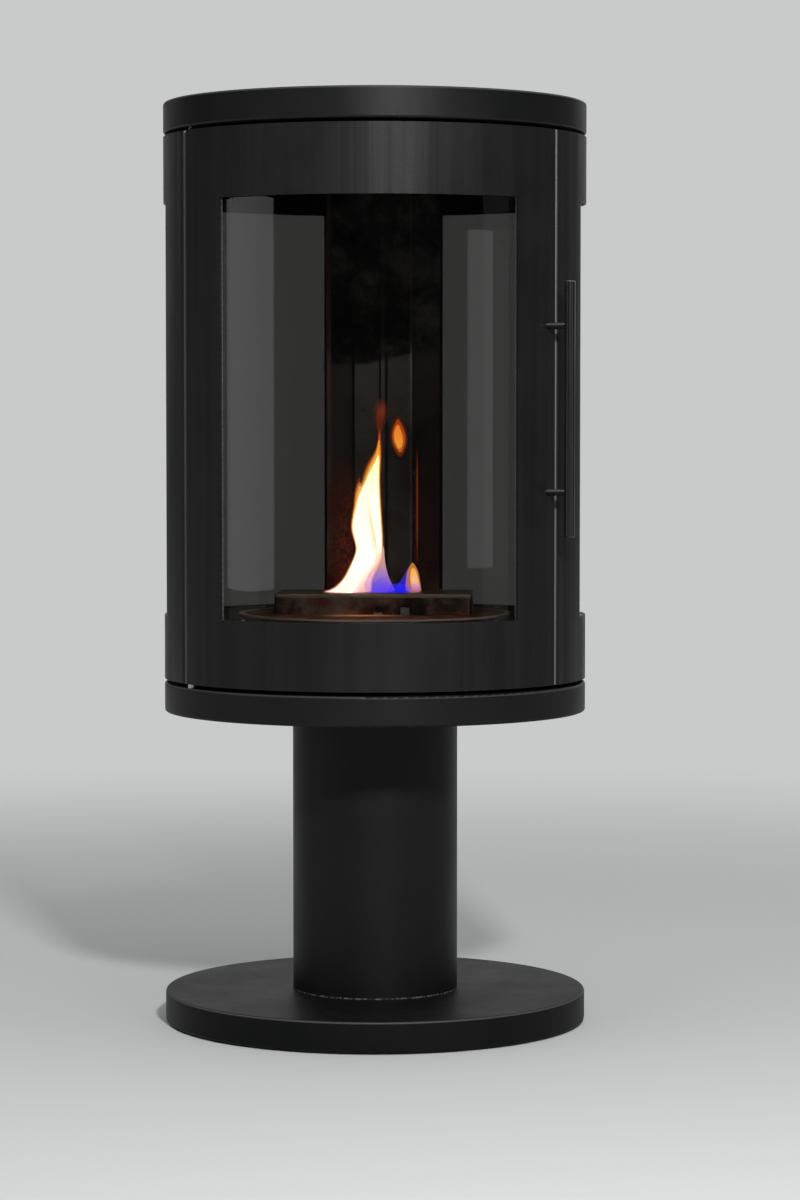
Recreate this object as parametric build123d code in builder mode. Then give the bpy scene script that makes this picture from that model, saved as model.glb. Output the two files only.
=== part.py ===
from build123d import *
from math import cos, degrees, radians, sin
import os

# Pedestal ethanol fireplace, in millimetres.
# The origin is on the floor under the middle of the base, with +Z up.
# The door faces -Y. A bearing is an angle from -Y towards +X, in degrees.

# Round discs and body
outer_radius = 250.0
base_thickness = 36.0
column_length = 333.0
drum_thickness = 35.0
lower_joint = 4.5
casing_height = 637.5
upper_joint = 4.0
top_thickness = 36.0
cap_wall = 4.0
disc_edge_round = 3.0
closing_sheet = 3.0
nest_gap = 0.2
overshoot = 1.0

# Screws and bolts
bolt_hole_gap = 0.2
hex_head_ratio = 0.9
pan_head_ratio = 0.85
flange_head_height = 6.4
flange_thread_end = 4.0
foot_head_height = 1.2
floor_head_height = 1.6
floor_screw_length = 12.0
joint_head_height = 4.0
joint_bolt_length = 26.0
retainer_screw_head = 2.2
retainer_screw_end = 1.0
liner_screw_head = 2.2
handle_screw_head = 3.0

# Column and its flanges
column_radius = 98.0
column_wall = 5.0
flange_thickness = 10.0
flange_width = 48.0
flange_bolt_inset = 23.0
flange_bolt_count = 6
flange_bolt_diameter = 10.0

# Base filling, cover and pads
ballast_thickness = 12.0
ballast_gap = 8.0
cover_thickness = 2.0
pad_height = 1.5
pad_radius = 23.0
pad_hole_radius = 6.0
foot_inset = 45.0
foot_turn = 45.0
foot_count = 4
foot_post_radius = 8.0
foot_screw_diameter = 5.0
foot_screw_length = 12.0

# Bolts that join casing, lower disc and upper disc
joint_bolt_inset = 60.0
joint_turn = 30.0
joint_bolt_count = 6
joint_bolt_diameter = 6.0
joint_post_radius = 7.0
joint_spacer_radius = 10.0

# Rolled sheet of casing and door
sheet = 3.0
fold_depth = 14.0
bend_round = 5.5
opening_half_angle = 59.6
hinge_side_gap = 4.5
latch_side_gap = 1.6
rear_seam_gap = 0.3
floor_sheet = 3.0
sector_recess = 18.0
air_inlet_radius = 50.0
air_outlet_radius = 110.0

# Door window and side windows
door_sill_height = 77.5
door_head_height = 80.0
door_window_half_angle = 42.75
side_sill_height = 75.0
side_head_height = 77.5
side_window_front_bearing = 76.0
side_window_rear_bearing = 162.5
glass_thickness = 4.0
gasket_thickness = 3.0
glass_overlap = 10.0
gasket_reveal = 0.5
retainer_thickness = 2.4
retainer_height = 20.0
retainer_bite = 7.0
boss_radius = 4.0
boss_count = 4
small_screw_diameter = 4.0
boss_glass_gap = 0.5
boss_root = 0.5

# Door bars, hinge and catch
rib_height = 12.0
rib_depth = 12.0
rib_end_gap = 1.0
rib_fold_gap = 0.2
hinge_inset = 4.5
hinge_depth = 6.5
hinge_pin_diameter = 5.0
hinge_running_gap = 0.05
hinge_pin_grip = 18.0
hinge_boss_radius = 6.0
hinge_notch_gap = 0.5
washer_radius = 5.3
magnet_bearing = 48.0
magnet_width = 28.0
magnet_depth = 12.0
magnet_height = 10.0
magnet_air_gap = 0.8

# Handle
handle_bearing = 55.0
handle_diameter = 12.0
handle_length = 292.0
handle_end_chamfer = 0.8
handle_gap = 24.0
handle_rise = 317.5
handle_hole_spacing = 190.0
handle_stud_diameter = 8.0
handle_socket_depth = 3.0
handle_screw_diameter = 5.0
handle_screw_length = 16.0
handle_screw_tip_gap = 1.0
assembly_gap = 0.05

# Rear wall
strip_half_width = 15.0
liner_thickness = 2.0
liner_glass_gap = 4.0
liner_fold_bearing = 8.7
liner_flange_gap = 0.3
batten_width = 7.4
batten_thickness = 2.5
batten_floor_gap = 1.0
sleeve_strip_gap = 4.0
sleeve_radius = 5.0
sleeve_count = 3
sleeve_end_margin = 40.0

# Hearth floor and burner
hearth_sill_drop = 3.0
hearth_sheet = 3.0
hearth_edge_gap = 1.4
hearth_liner_gap = 0.4
hearth_post_inset = 29.0
hearth_post_count = 4
hearth_post_radius = 6.0
disc_radius = 162.0
disc_thickness = 2.0
burner_length = 232.0
burner_depth = 108.0
burner_height = 24.5
burner_sheet = 1.5
burner_corner = 3.0
slot_length = 116.0
slot_width = 38.0
slot_front_inset = 8.0
arch_width = 10.0
arch_height = 10.0
arch_offset = 6.0
clip_width = 10.6
clip_height = 8.5
clip_thickness = 3.0
clip_offset = 37.6
clip_corner = 0.6
shutter_thickness = 2.0
shutter_side_lap = 8.0
shutter_front_lap = 0.5
shutter_rear_lap = 5.5
shutter_corner = 2.0
shutter_lip = 12.0
shutter_hole_radius = 3.5
shutter_hole_inset = 6.0
shutter_gap = 0.3
rail_thickness = 1.5
rail_foot = 6.0
tank_end_gap = 18.0
tank_side_gap = 14.0
tank_depth = 58.0
tank_flange = 7.0
tank_opening_gap = 1.0
wool_drop = 14.5
wool_gap = 0.3

# Baffle under the roof
baffle_overlap = 60.0
baffle_thickness = 2.0
baffle_drop = 40.0
baffle_stud_offset = 30.0
baffle_stud_radius = 5.0
baffle_stud_count = 3

# Heights and radii that follow from these
base_bottom = pad_height
base_top = base_bottom + base_thickness
drum_bottom = base_top + column_length
drum_top = drum_bottom + drum_thickness
casing_bottom = drum_top + lower_joint
casing_top = casing_bottom + casing_height
top_bottom = casing_top + upper_joint
top_top = top_bottom + top_thickness
cap_inner_radius = outer_radius - cap_wall
closing_radius = cap_inner_radius - nest_gap
sheet_inner_radius = outer_radius - sheet
glass_outer_radius = sheet_inner_radius - gasket_thickness
glass_inner_radius = glass_outer_radius - glass_thickness
retainer_inner_radius = glass_inner_radius - retainer_thickness
casing_sheet_radius = sheet_inner_radius - nest_gap
rib_inner_radius = sheet_inner_radius - rib_depth
hinge_radius = outer_radius - hinge_depth
ballast_top = base_top - cap_wall
ballast_bottom = ballast_top - ballast_thickness
column_inner_radius = column_radius - column_wall
flange_bolt_circle = column_inner_radius - flange_bolt_inset
foot_circle = outer_radius - foot_inset
joint_bolt_circle = outer_radius - joint_bolt_inset
door_window_bottom = casing_bottom + door_sill_height
door_window_height = casing_height - door_sill_height - door_head_height
side_window_bottom = casing_bottom + side_sill_height
side_window_height = casing_height - side_sill_height - side_head_height
liner_radius = glass_inner_radius - liner_glass_gap
liner_edge_bearing = 180.0 - side_window_rear_bearing
handle_center_radius = outer_radius + handle_gap + handle_diameter / 2
handle_mid_height = casing_bottom + handle_rise
casing_floor_top = casing_bottom + floor_sheet
casing_roof_bottom = casing_top - floor_sheet
hearth_height = door_window_bottom - hearth_sill_drop
hearth_bottom = hearth_height - hearth_sheet
hearth_radius = retainer_inner_radius - retainer_screw_head - hearth_edge_gap
hearth_post_circle = hearth_radius - hearth_post_inset
disc_top = hearth_height + disc_thickness
burner_top = disc_top + burner_height
burner_ceiling = burner_top - burner_sheet
tank_length = burner_length - 2 * tank_end_gap
tank_width = burner_depth - 2 * tank_side_gap
baffle_radius = air_outlet_radius + baffle_overlap
baffle_stud_circle = air_outlet_radius + baffle_stud_offset


def arc_degrees(length, radius=outer_radius):
    """Angle of an arc of a given length."""
    return degrees(length / radius)


door_left = -opening_half_angle + arc_degrees(hinge_side_gap)
door_right = opening_half_angle - arc_degrees(latch_side_gap)
door_middle = (door_left + door_right) / 2
hinge_bearing = door_left + arc_degrees(hinge_inset)
side_window_middle = (side_window_front_bearing + side_window_rear_bearing) / 2
side_window_half_angle = (side_window_rear_bearing - side_window_front_bearing) / 2
glass_overlap_angle = arc_degrees(glass_overlap, glass_outer_radius)


def place(bearing, radius, height=0.0):
    """Point at a bearing and radius from the axis."""
    return Vector(radius * sin(radians(bearing)), -radius * cos(radians(bearing)), height)


def radial_plane(bearing, radius, height):
    """Plane that faces outwards at a bearing."""
    return Plane(origin=place(bearing, radius, height), x_dir=(0, 0, 1), z_dir=place(bearing, 1))


def ring_sector(inner, outer, start, end):
    """Flat piece of a ring between two bearings."""
    with BuildSketch() as sector:
        with BuildLine():
            CenterArc((0, 0), inner, start - 90, end - start)
            CenterArc((0, 0), outer, start - 90, end - start)
            Line(place(start, inner), place(start, outer))
            Line(place(end, inner), place(end, outer))
        make_face()
    return sector.sketch


def wall(inner, outer, start, end, bottom, height, mode=Mode.ADD):
    """Curved upright wall, added to or cut from the part being built."""
    with BuildSketch(Plane.XY.offset(bottom)) as profile:
        add(ring_sector(inner, outer, start, end))
    extrude(profile.sketch, amount=height, mode=mode)


def discs(radius, circle, count, bottom, height, mode=Mode.ADD, turn=0.0):
    """Upright round posts or holes on a circle about the axis."""
    with BuildSketch(Plane.XY.offset(bottom)) as profile:
        with PolarLocations(circle, count, start_angle=turn):
            Circle(radius)
    extrude(profile.sketch, amount=height, mode=mode)


def hex_heads(diameter, circle, count, bottom, height, turn=0.0):
    """Hexagon heads on a circle about the axis."""
    with BuildSketch(Plane.XY.offset(bottom)) as profile:
        with PolarLocations(circle, count, start_angle=turn):
            RegularPolygon(diameter * hex_head_ratio, 6)
    extrude(profile.sketch, amount=height)


def hinge_disc(radius, bottom, height, mode=Mode.ADD):
    """Round piece or hole about the hinge axis."""
    with BuildSketch(Plane.XY.offset(bottom)) as profile:
        with Locations(place(hinge_bearing, hinge_radius)):
            Circle(radius)
    extrude(profile.sketch, amount=height, mode=mode)


def radial_rod(bearing, start_radius, end_radius, height, radius, mode=Mode.ADD):
    """Round rod or hole that points outwards at a bearing."""
    with BuildSketch(radial_plane(bearing, start_radius, height)) as profile:
        Circle(radius)
    extrude(profile.sketch, amount=end_radius - start_radius, mode=mode)


def save(part, label):
    part.part.label = label
    export_step(part.part, f"parts/{label}.step")


os.makedirs("parts", exist_ok=True)


# Base disc: pressed cap, ballast plate and bottom cover
with BuildPart() as base_shell:
    with BuildSketch(Plane.XY.offset(base_bottom)):
        Circle(outer_radius)
    extrude(amount=base_thickness)
    fillet(base_shell.edges().filter_by(GeomType.CIRCLE), radius=disc_edge_round)
    with BuildSketch(Plane.XY.offset(base_bottom)):
        Circle(cap_inner_radius)
    extrude(amount=base_thickness - cap_wall, mode=Mode.SUBTRACT)
    discs(flange_bolt_diameter / 2 + bolt_hole_gap, flange_bolt_circle, flange_bolt_count,
          ballast_top, cap_wall, Mode.SUBTRACT)
save(base_shell, "base_shell")

with BuildPart() as base_ballast:
    with BuildSketch(Plane.XY.offset(ballast_bottom)):
        Circle(cap_inner_radius - ballast_gap)
    extrude(amount=ballast_thickness)
    discs(flange_bolt_diameter / 2 + bolt_hole_gap, flange_bolt_circle, flange_bolt_count,
          ballast_bottom, ballast_thickness, Mode.SUBTRACT)
save(base_ballast, "base_ballast")

with BuildPart() as base_cover:
    with BuildSketch(Plane.XY.offset(base_bottom)):
        Circle(closing_radius)
    extrude(amount=cover_thickness)
    discs(foot_screw_diameter / 2 + bolt_hole_gap, foot_circle, foot_count,
          base_bottom, cover_thickness, Mode.SUBTRACT, foot_turn)
save(base_cover, "base_cover")

foot_post_bottom = base_bottom + cover_thickness
with BuildPart() as foot_posts:
    discs(foot_post_radius, foot_circle, foot_count, foot_post_bottom,
          ballast_bottom - foot_post_bottom, turn=foot_turn)
    discs(foot_screw_diameter / 2 + bolt_hole_gap, foot_circle, foot_count, foot_post_bottom,
          foot_screw_length, Mode.SUBTRACT, foot_turn)
save(foot_posts, "foot_posts")

with BuildPart() as foot_pads:
    discs(pad_radius, foot_circle, foot_count, 0, pad_height, turn=foot_turn)
    discs(pad_hole_radius, foot_circle, foot_count, 0, pad_height, Mode.SUBTRACT, foot_turn)
save(foot_pads, "foot_pads")

with BuildPart() as foot_screws:
    discs(foot_screw_diameter * pan_head_ratio, foot_circle, foot_count, base_bottom - foot_head_height,
          foot_head_height, turn=foot_turn)
    discs(foot_screw_diameter / 2, foot_circle, foot_count, base_bottom,
          foot_screw_length, turn=foot_turn)
save(foot_screws, "foot_screws")


# Column tube with a bolted ring at each end
with BuildPart() as column_tube:
    with BuildSketch(Plane.XY.offset(base_top)):
        Circle(column_radius)
        Circle(column_inner_radius, mode=Mode.SUBTRACT)
    extrude(amount=column_length)
save(column_tube, "column_tube")


with BuildPart() as column_flanges:
    for bottom in (base_top, drum_bottom - flange_thickness):
        with BuildSketch(Plane.XY.offset(bottom)):
            Circle(column_inner_radius - nest_gap)
            Circle(column_inner_radius - flange_width, mode=Mode.SUBTRACT)
            with PolarLocations(flange_bolt_circle, flange_bolt_count):
                Circle(flange_bolt_diameter / 2 + bolt_hole_gap, mode=Mode.SUBTRACT)
        extrude(amount=flange_thickness)
save(column_flanges, "column_flanges")

with BuildPart() as column_foot_bolts:
    hex_heads(flange_bolt_diameter, flange_bolt_circle, flange_bolt_count,
              ballast_bottom - flange_head_height, flange_head_height)
    discs(flange_bolt_diameter / 2, flange_bolt_circle, flange_bolt_count, ballast_bottom,
          base_top + flange_thickness + flange_thread_end - ballast_bottom)
save(column_foot_bolts, "column_foot_bolts")

with BuildPart() as column_head_bolts:
    hex_heads(flange_bolt_diameter, flange_bolt_circle, flange_bolt_count,
              drum_bottom + cap_wall, flange_head_height)
    discs(flange_bolt_diameter / 2, flange_bolt_circle, flange_bolt_count,
          drum_bottom - flange_thickness - flange_thread_end,
          flange_thickness + flange_thread_end + cap_wall)
save(column_head_bolts, "column_head_bolts")


# Lower disc: pan with the hinge boss, closing sheet and posts
drum_cover_bottom = drum_top - closing_sheet
with BuildPart() as drum_shell:
    with BuildSketch(Plane.XY.offset(drum_bottom)):
        Circle(outer_radius)
    extrude(amount=drum_thickness)
    fillet(drum_shell.edges().filter_by(GeomType.CIRCLE), radius=disc_edge_round)
    with BuildSketch(Plane.XY.offset(drum_bottom + cap_wall)):
        Circle(cap_inner_radius)
    extrude(amount=drum_thickness - cap_wall, mode=Mode.SUBTRACT)
    discs(flange_bolt_diameter / 2 + bolt_hole_gap, flange_bolt_circle, flange_bolt_count,
          drum_bottom, cap_wall, Mode.SUBTRACT)
    hinge_disc(hinge_boss_radius, drum_cover_bottom - hinge_pin_grip, hinge_pin_grip)
    hinge_disc(hinge_pin_diameter / 2 + hinge_running_gap,
               drum_cover_bottom - hinge_pin_grip, hinge_pin_grip, Mode.SUBTRACT)
save(drum_shell, "drum_shell")

with BuildPart() as drum_cover:
    with BuildSketch(Plane.XY.offset(drum_cover_bottom)):
        Circle(closing_radius)
    extrude(amount=closing_sheet)
    discs(joint_bolt_diameter / 2 + bolt_hole_gap, joint_bolt_circle, joint_bolt_count,
          drum_cover_bottom, closing_sheet, Mode.SUBTRACT, joint_turn)
    hinge_disc(hinge_pin_diameter / 2 + hinge_notch_gap,
               drum_cover_bottom, closing_sheet, Mode.SUBTRACT)
save(drum_cover, "drum_cover")


def bolt_posts(bottom, height):
    """Tapped posts that take the joint bolts."""
    discs(joint_post_radius, joint_bolt_circle, joint_bolt_count, bottom, height, turn=joint_turn)
    discs(joint_bolt_diameter / 2 + bolt_hole_gap, joint_bolt_circle, joint_bolt_count,
          bottom, height, Mode.SUBTRACT, joint_turn)


with BuildPart() as drum_posts:
    bolt_posts(drum_bottom + cap_wall, drum_thickness - cap_wall - closing_sheet)
save(drum_posts, "drum_posts")


# Shadow joints above and below the casing: spacers and bolts
def joint_spacers(bottom, height):
    discs(joint_spacer_radius, joint_bolt_circle, joint_bolt_count, bottom, height,
          turn=joint_turn)
    discs(joint_bolt_diameter / 2 + bolt_hole_gap, joint_bolt_circle, joint_bolt_count,
          bottom, height, Mode.SUBTRACT, joint_turn)


with BuildPart() as casing_spacers_lower:
    joint_spacers(drum_top, lower_joint)
save(casing_spacers_lower, "casing_spacers_lower")

with BuildPart() as casing_spacers_upper:
    joint_spacers(casing_top, upper_joint)
save(casing_spacers_upper, "casing_spacers_upper")

top_liner_top = top_bottom + closing_sheet
with BuildPart() as casing_bolts:
    for head_bottom, shank_bottom in (
            (casing_floor_top, casing_floor_top - joint_bolt_length),
            (casing_roof_bottom - joint_head_height, casing_roof_bottom)):
        hex_heads(joint_bolt_diameter, joint_bolt_circle, joint_bolt_count,
                  head_bottom, joint_head_height, joint_turn)
        discs(joint_bolt_diameter / 2, joint_bolt_circle, joint_bolt_count,
              shank_bottom, joint_bolt_length, turn=joint_turn)
save(casing_bolts, "casing_bolts")


# Casing floor and roof, set back behind the door and the folds beside it
recess_half_angle = opening_half_angle + arc_degrees(sheet + nest_gap, outer_radius - fold_depth)


def casing_sheet(bottom, hole_radius):
    with BuildSketch(Plane.XY.offset(bottom)) as profile:
        Circle(casing_sheet_radius)
        add(ring_sector(outer_radius - sector_recess, outer_radius,
                        -recess_half_angle, recess_half_angle), mode=Mode.SUBTRACT)
        for side in (-1, 1):
            corner = place(side * recess_half_angle, casing_sheet_radius, bottom)
            fillet(profile.vertices().sort_by_distance(corner)[0], radius=bend_round - sheet)
        Circle(hole_radius, mode=Mode.SUBTRACT)
        with PolarLocations(joint_bolt_circle, joint_bolt_count, start_angle=joint_turn):
            Circle(joint_bolt_diameter / 2 + bolt_hole_gap, mode=Mode.SUBTRACT)
    extrude(profile.sketch, amount=floor_sheet)


with BuildPart() as casing_floor:
    casing_sheet(casing_bottom, air_inlet_radius)
save(casing_floor, "casing_floor")

with BuildPart() as casing_roof:
    casing_sheet(casing_roof_bottom, air_outlet_radius)
save(casing_roof, "casing_roof")


# Windows: retainer bosses, gasket, glass and clamping bars
def boss_bearings(middle, half_angle):
    pitch = 2 * half_angle / boss_count
    return [middle - half_angle + pitch * (i + 0.5) for i in range(boss_count)]


def boss_heights(bottom, height):
    inset = glass_overlap + boss_radius + boss_glass_gap
    return [bottom - inset, bottom + height + inset]


def window_bosses(middle, half_angle, bottom, height):
    """Tapped bosses inside a wall, above and below the glass."""
    for bearing in boss_bearings(middle, half_angle):
        for level in boss_heights(bottom, height):
            radial_rod(bearing, glass_inner_radius, sheet_inner_radius + boss_root, level,
                       boss_radius)
            radial_rod(bearing, glass_inner_radius, sheet_inner_radius, level,
                       small_screw_diameter / 2 + bolt_hole_gap, Mode.SUBTRACT)


def window_glass(middle, half_angle, bottom, height):
    half = half_angle + glass_overlap_angle
    wall(glass_inner_radius, glass_outer_radius, middle - half, middle + half,
         bottom - glass_overlap, height + 2 * glass_overlap)


def window_gasket(middle, half_angle, bottom, height):
    half = half_angle + glass_overlap_angle
    open_half = half_angle + arc_degrees(gasket_reveal)
    wall(glass_outer_radius, sheet_inner_radius, middle - half, middle + half,
         bottom - glass_overlap, height + 2 * glass_overlap)
    wall(glass_outer_radius - overshoot, outer_radius, middle - open_half, middle + open_half,
         bottom - gasket_reveal, height + 2 * gasket_reveal, Mode.SUBTRACT)


def retainer_levels(bottom, height):
    lower = bottom - glass_overlap + retainer_bite - retainer_height
    upper = bottom + height + glass_overlap - retainer_bite
    return [lower, upper]


def window_retainers(middle, half_angle, bottom, height):
    for level in retainer_levels(bottom, height):
        wall(retainer_inner_radius, glass_inner_radius, middle - half_angle,
             middle + half_angle, level, retainer_height)
    for bearing in boss_bearings(middle, half_angle):
        for level in boss_heights(bottom, height):
            radial_rod(bearing, retainer_inner_radius - overshoot,
                       glass_inner_radius + overshoot, level,
                       small_screw_diameter / 2 + bolt_hole_gap, Mode.SUBTRACT)


def retainer_screws(middle, half_angle, bottom, height):
    for bearing in boss_bearings(middle, half_angle):
        for level in boss_heights(bottom, height):
            radial_rod(bearing, retainer_inner_radius - retainer_screw_head,
                       retainer_inner_radius - assembly_gap, level,
                       small_screw_diameter * pan_head_ratio)
            radial_rod(bearing, retainer_inner_radius - 2 * assembly_gap,
                       sheet_inner_radius - retainer_screw_end, level,
                       small_screw_diameter / 2)


side_window = (side_window_middle, side_window_half_angle, side_window_bottom, side_window_height)
other_window = (-side_window_middle, side_window_half_angle, side_window_bottom, side_window_height)
door_window = (door_middle, door_window_half_angle, door_window_bottom, door_window_height)


# Side walls: rolled sheet folded inwards at the door opening
def fold(part, edge_bearing, side):
    """Inward fold along an upright edge, bent with an inner and an outer round.

    Side is 1 where the wall lies at larger bearings than its edge, or else -1.
    """
    inner_bearing = edge_bearing + side * arc_degrees(sheet)
    start, end = sorted((edge_bearing, inner_bearing))
    wall(outer_radius - fold_depth, outer_radius, start, end, casing_bottom, casing_height)
    for bearing, radius, bend in ((edge_bearing, outer_radius, bend_round),
                                  (inner_bearing, sheet_inner_radius, bend_round - sheet)):
        corner = place(bearing, radius, casing_bottom)
        fillet(part.edges().filter_by(Axis.Z).sort_by_distance(corner)[0], radius=bend)


def cut_window(middle, half_angle, bottom, height):
    wall(glass_inner_radius, outer_radius + overshoot, middle - half_angle, middle + half_angle,
         bottom, height, Mode.SUBTRACT)


rear_end = 180.0 - arc_degrees(rear_seam_gap / 2)
with BuildPart() as side_shell_right:
    wall(sheet_inner_radius, outer_radius, opening_half_angle, rear_end,
         casing_bottom, casing_height)
    fold(side_shell_right, opening_half_angle, 1)
    cut_window(*side_window)
    window_bosses(*side_window)
save(side_shell_right, "side_shell_right")

with BuildPart() as side_shell_left:
    mirror(side_shell_right.part, about=Plane.YZ)
save(side_shell_left, "side_shell_left")

for side, window in (("right", side_window), ("left", other_window)):
    with BuildPart() as side_glass:
        window_glass(*window)
    save(side_glass, f"side_glass_{side}")
    with BuildPart() as side_gasket:
        window_gasket(*window)
    save(side_gasket, f"side_gasket_{side}")
    with BuildPart() as side_retainers:
        window_retainers(*window)
    save(side_retainers, f"side_retainers_{side}")

with BuildPart() as side_retainer_screws:
    retainer_screws(*side_window)
    retainer_screws(*other_window)
save(side_retainer_screws, "side_retainer_screws")


# Rear: joint strip, folded back wall, centre batten, sleeves and screws
strip_angle = arc_degrees(strip_half_width)
liner_height = casing_roof_bottom - casing_floor_top
with BuildPart() as rear_joint_strip:
    wall(casing_sheet_radius - sheet, casing_sheet_radius, 180 - strip_angle,
         180 + strip_angle, casing_floor_top, liner_height)
save(rear_joint_strip, "rear_joint_strip")

liner_bearings = [180 + side * bearing for side, bearing in (
    (-1, liner_edge_bearing), (-1, liner_fold_bearing),
    (1, liner_fold_bearing), (1, liner_edge_bearing))]
flange_radius = glass_inner_radius - liner_flange_gap
flange_angle = arc_degrees(liner_thickness, liner_radius)
liner_back = liner_radius * cos(radians(liner_fold_bearing))
liner_front = liner_back - liner_thickness * cos(radians(liner_fold_bearing))
sleeve_pitch = (liner_height - 2 * sleeve_end_margin) / (sleeve_count - 1)
sleeve_offset = strip_half_width + sleeve_strip_gap + sleeve_radius
sleeve_places = [(x, casing_floor_top + sleeve_end_margin + i * sleeve_pitch)
                 for x in (-sleeve_offset, sleeve_offset) for i in range(sleeve_count)]


def rear_rods(radius, start, end, mode=Mode.ADD):
    """Rods along Y at the places that hold the back wall."""
    with BuildSketch(Plane.XZ.offset(-start)) as profile:
        with Locations(*sleeve_places):
            Circle(radius)
    extrude(profile.sketch, amount=start - end, mode=mode)


with BuildPart() as rear_liner:
    with BuildSketch(Plane.XY.offset(casing_floor_top)):
        with BuildLine():
            outer_points = [place(b, liner_radius) for b in liner_bearings]
            inner_points = [place(b, liner_radius - liner_thickness) for b in liner_bearings]
            Polyline(*outer_points, *reversed(inner_points), close=True)
        make_face()
        for start in (liner_bearings[0], liner_bearings[-1] - flange_angle):
            add(ring_sector(liner_radius - liner_thickness, flange_radius,
                            start, start + flange_angle))
    extrude(amount=liner_height)
    rear_rods(small_screw_diameter / 2 + bolt_hole_gap, liner_front - overshoot,
              liner_back + overshoot, Mode.SUBTRACT)
save(rear_liner, "rear_liner")

batten_bottom = hearth_height + batten_floor_gap
with BuildPart() as liner_batten:
    with BuildSketch(Plane.XY.offset(batten_bottom)):
        with Locations((0, liner_front - batten_thickness / 2)):
            Rectangle(batten_width, batten_thickness)
    extrude(amount=casing_roof_bottom - batten_bottom)
save(liner_batten, "liner_batten")

with BuildPart() as liner_sleeves:
    rear_rods(sleeve_radius, liner_back, sheet_inner_radius)
    rear_rods(small_screw_diameter / 2 + bolt_hole_gap, liner_back, sheet_inner_radius,
              Mode.SUBTRACT)
    with BuildSketch(Plane.XY.offset(casing_bottom)):
        Circle(casing_sheet_radius)
    extrude(amount=casing_height, mode=Mode.INTERSECT)
save(liner_sleeves, "liner_sleeves")

with BuildPart() as liner_screws:
    rear_rods(small_screw_diameter * pan_head_ratio, liner_front - liner_screw_head, liner_front)
    rear_rods(small_screw_diameter / 2, liner_front, sheet_inner_radius - sheet)
save(liner_screws, "liner_screws")


# Baffle hung under the air outlet
baffle_bottom = casing_roof_bottom - baffle_drop
with BuildPart() as heat_baffle:
    with BuildSketch(Plane.XY.offset(baffle_bottom)):
        Circle(baffle_radius)
    extrude(amount=baffle_thickness)
save(heat_baffle, "heat_baffle")

with BuildPart() as baffle_studs:
    discs(baffle_stud_radius, baffle_stud_circle, baffle_stud_count,
          baffle_bottom + baffle_thickness, baffle_drop - baffle_thickness)
save(baffle_studs, "baffle_studs")


# Upper disc: cap with the hinge boss, closing sheet and posts
with BuildPart() as top_cap:
    with BuildSketch(Plane.XY.offset(top_bottom)):
        Circle(outer_radius)
    extrude(amount=top_thickness)
    fillet(top_cap.edges().filter_by(GeomType.CIRCLE), radius=disc_edge_round)
    with BuildSketch(Plane.XY.offset(top_bottom)):
        Circle(cap_inner_radius)
    extrude(amount=top_thickness - cap_wall, mode=Mode.SUBTRACT)
    hinge_disc(hinge_boss_radius, top_liner_top, hinge_pin_grip)
    hinge_disc(hinge_pin_diameter / 2 + hinge_running_gap, top_liner_top,
               hinge_pin_grip, Mode.SUBTRACT)
save(top_cap, "top_cap")

with BuildPart() as top_liner:
    with BuildSketch(Plane.XY.offset(top_bottom)):
        Circle(closing_radius)
    extrude(amount=closing_sheet)
    discs(joint_bolt_diameter / 2 + bolt_hole_gap, joint_bolt_circle, joint_bolt_count,
          top_bottom, closing_sheet, Mode.SUBTRACT, joint_turn)
    hinge_disc(hinge_pin_diameter / 2 + hinge_notch_gap, top_bottom,
               closing_sheet, Mode.SUBTRACT)
save(top_liner, "top_liner")

with BuildPart() as top_posts:
    bolt_posts(top_liner_top, top_thickness - cap_wall - closing_sheet)
save(top_posts, "top_posts")


# Door: rolled skin with folded edges, stiffening bars, hinge pins and washer
fold_notch = rib_height + rib_fold_gap
handle_levels = [handle_mid_height - handle_hole_spacing / 2,
                 handle_mid_height + handle_hole_spacing / 2]
with BuildPart() as door_skin:
    wall(sheet_inner_radius, outer_radius, door_left, door_right, casing_bottom, casing_height)
    fold(door_skin, door_left, 1)
    fold(door_skin, door_right, -1)
    for bottom in (casing_bottom, casing_top - fold_notch):
        wall(outer_radius - fold_depth - overshoot, sheet_inner_radius, -opening_half_angle,
             opening_half_angle, bottom, fold_notch, Mode.SUBTRACT)
    cut_window(*door_window)
    window_bosses(*door_window)
    for level in handle_levels:
        radial_rod(handle_bearing, sheet_inner_radius - overshoot, outer_radius + overshoot,
                   level, handle_screw_diameter / 2 + bolt_hole_gap, Mode.SUBTRACT)
save(door_skin, "door_skin")

rib_angle = arc_degrees(rib_end_gap)
upper_rib_bottom = casing_top - rib_height
with BuildPart() as door_ribs:
    for rib_bottom in (casing_bottom, upper_rib_bottom):
        wall(rib_inner_radius, sheet_inner_radius, door_left + rib_angle,
             door_right - rib_angle, rib_bottom, rib_height)
        hinge_disc(hinge_pin_diameter / 2 + hinge_running_gap, rib_bottom,
                   rib_height, Mode.SUBTRACT)
save(door_ribs, "door_ribs")

pin_length = rib_height + upper_joint + closing_sheet + hinge_pin_grip
with BuildPart() as hinge_pins:
    hinge_disc(hinge_pin_diameter / 2, casing_bottom + rib_height - pin_length, pin_length)
    hinge_disc(hinge_pin_diameter / 2, upper_rib_bottom, pin_length)
save(hinge_pins, "hinge_pins")

with BuildPart() as hinge_washer:
    hinge_disc(washer_radius, drum_top, lower_joint)
    hinge_disc(hinge_pin_diameter / 2 + hinge_running_gap, drum_top, lower_joint, Mode.SUBTRACT)
save(hinge_washer, "hinge_washer")

with BuildPart() as door_glass:
    window_glass(*door_window)
save(door_glass, "door_glass")

with BuildPart() as door_gasket:
    window_gasket(*door_window)
save(door_gasket, "door_gasket")

with BuildPart() as door_retainers:
    window_retainers(*door_window)
save(door_retainers, "door_retainers")

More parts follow.
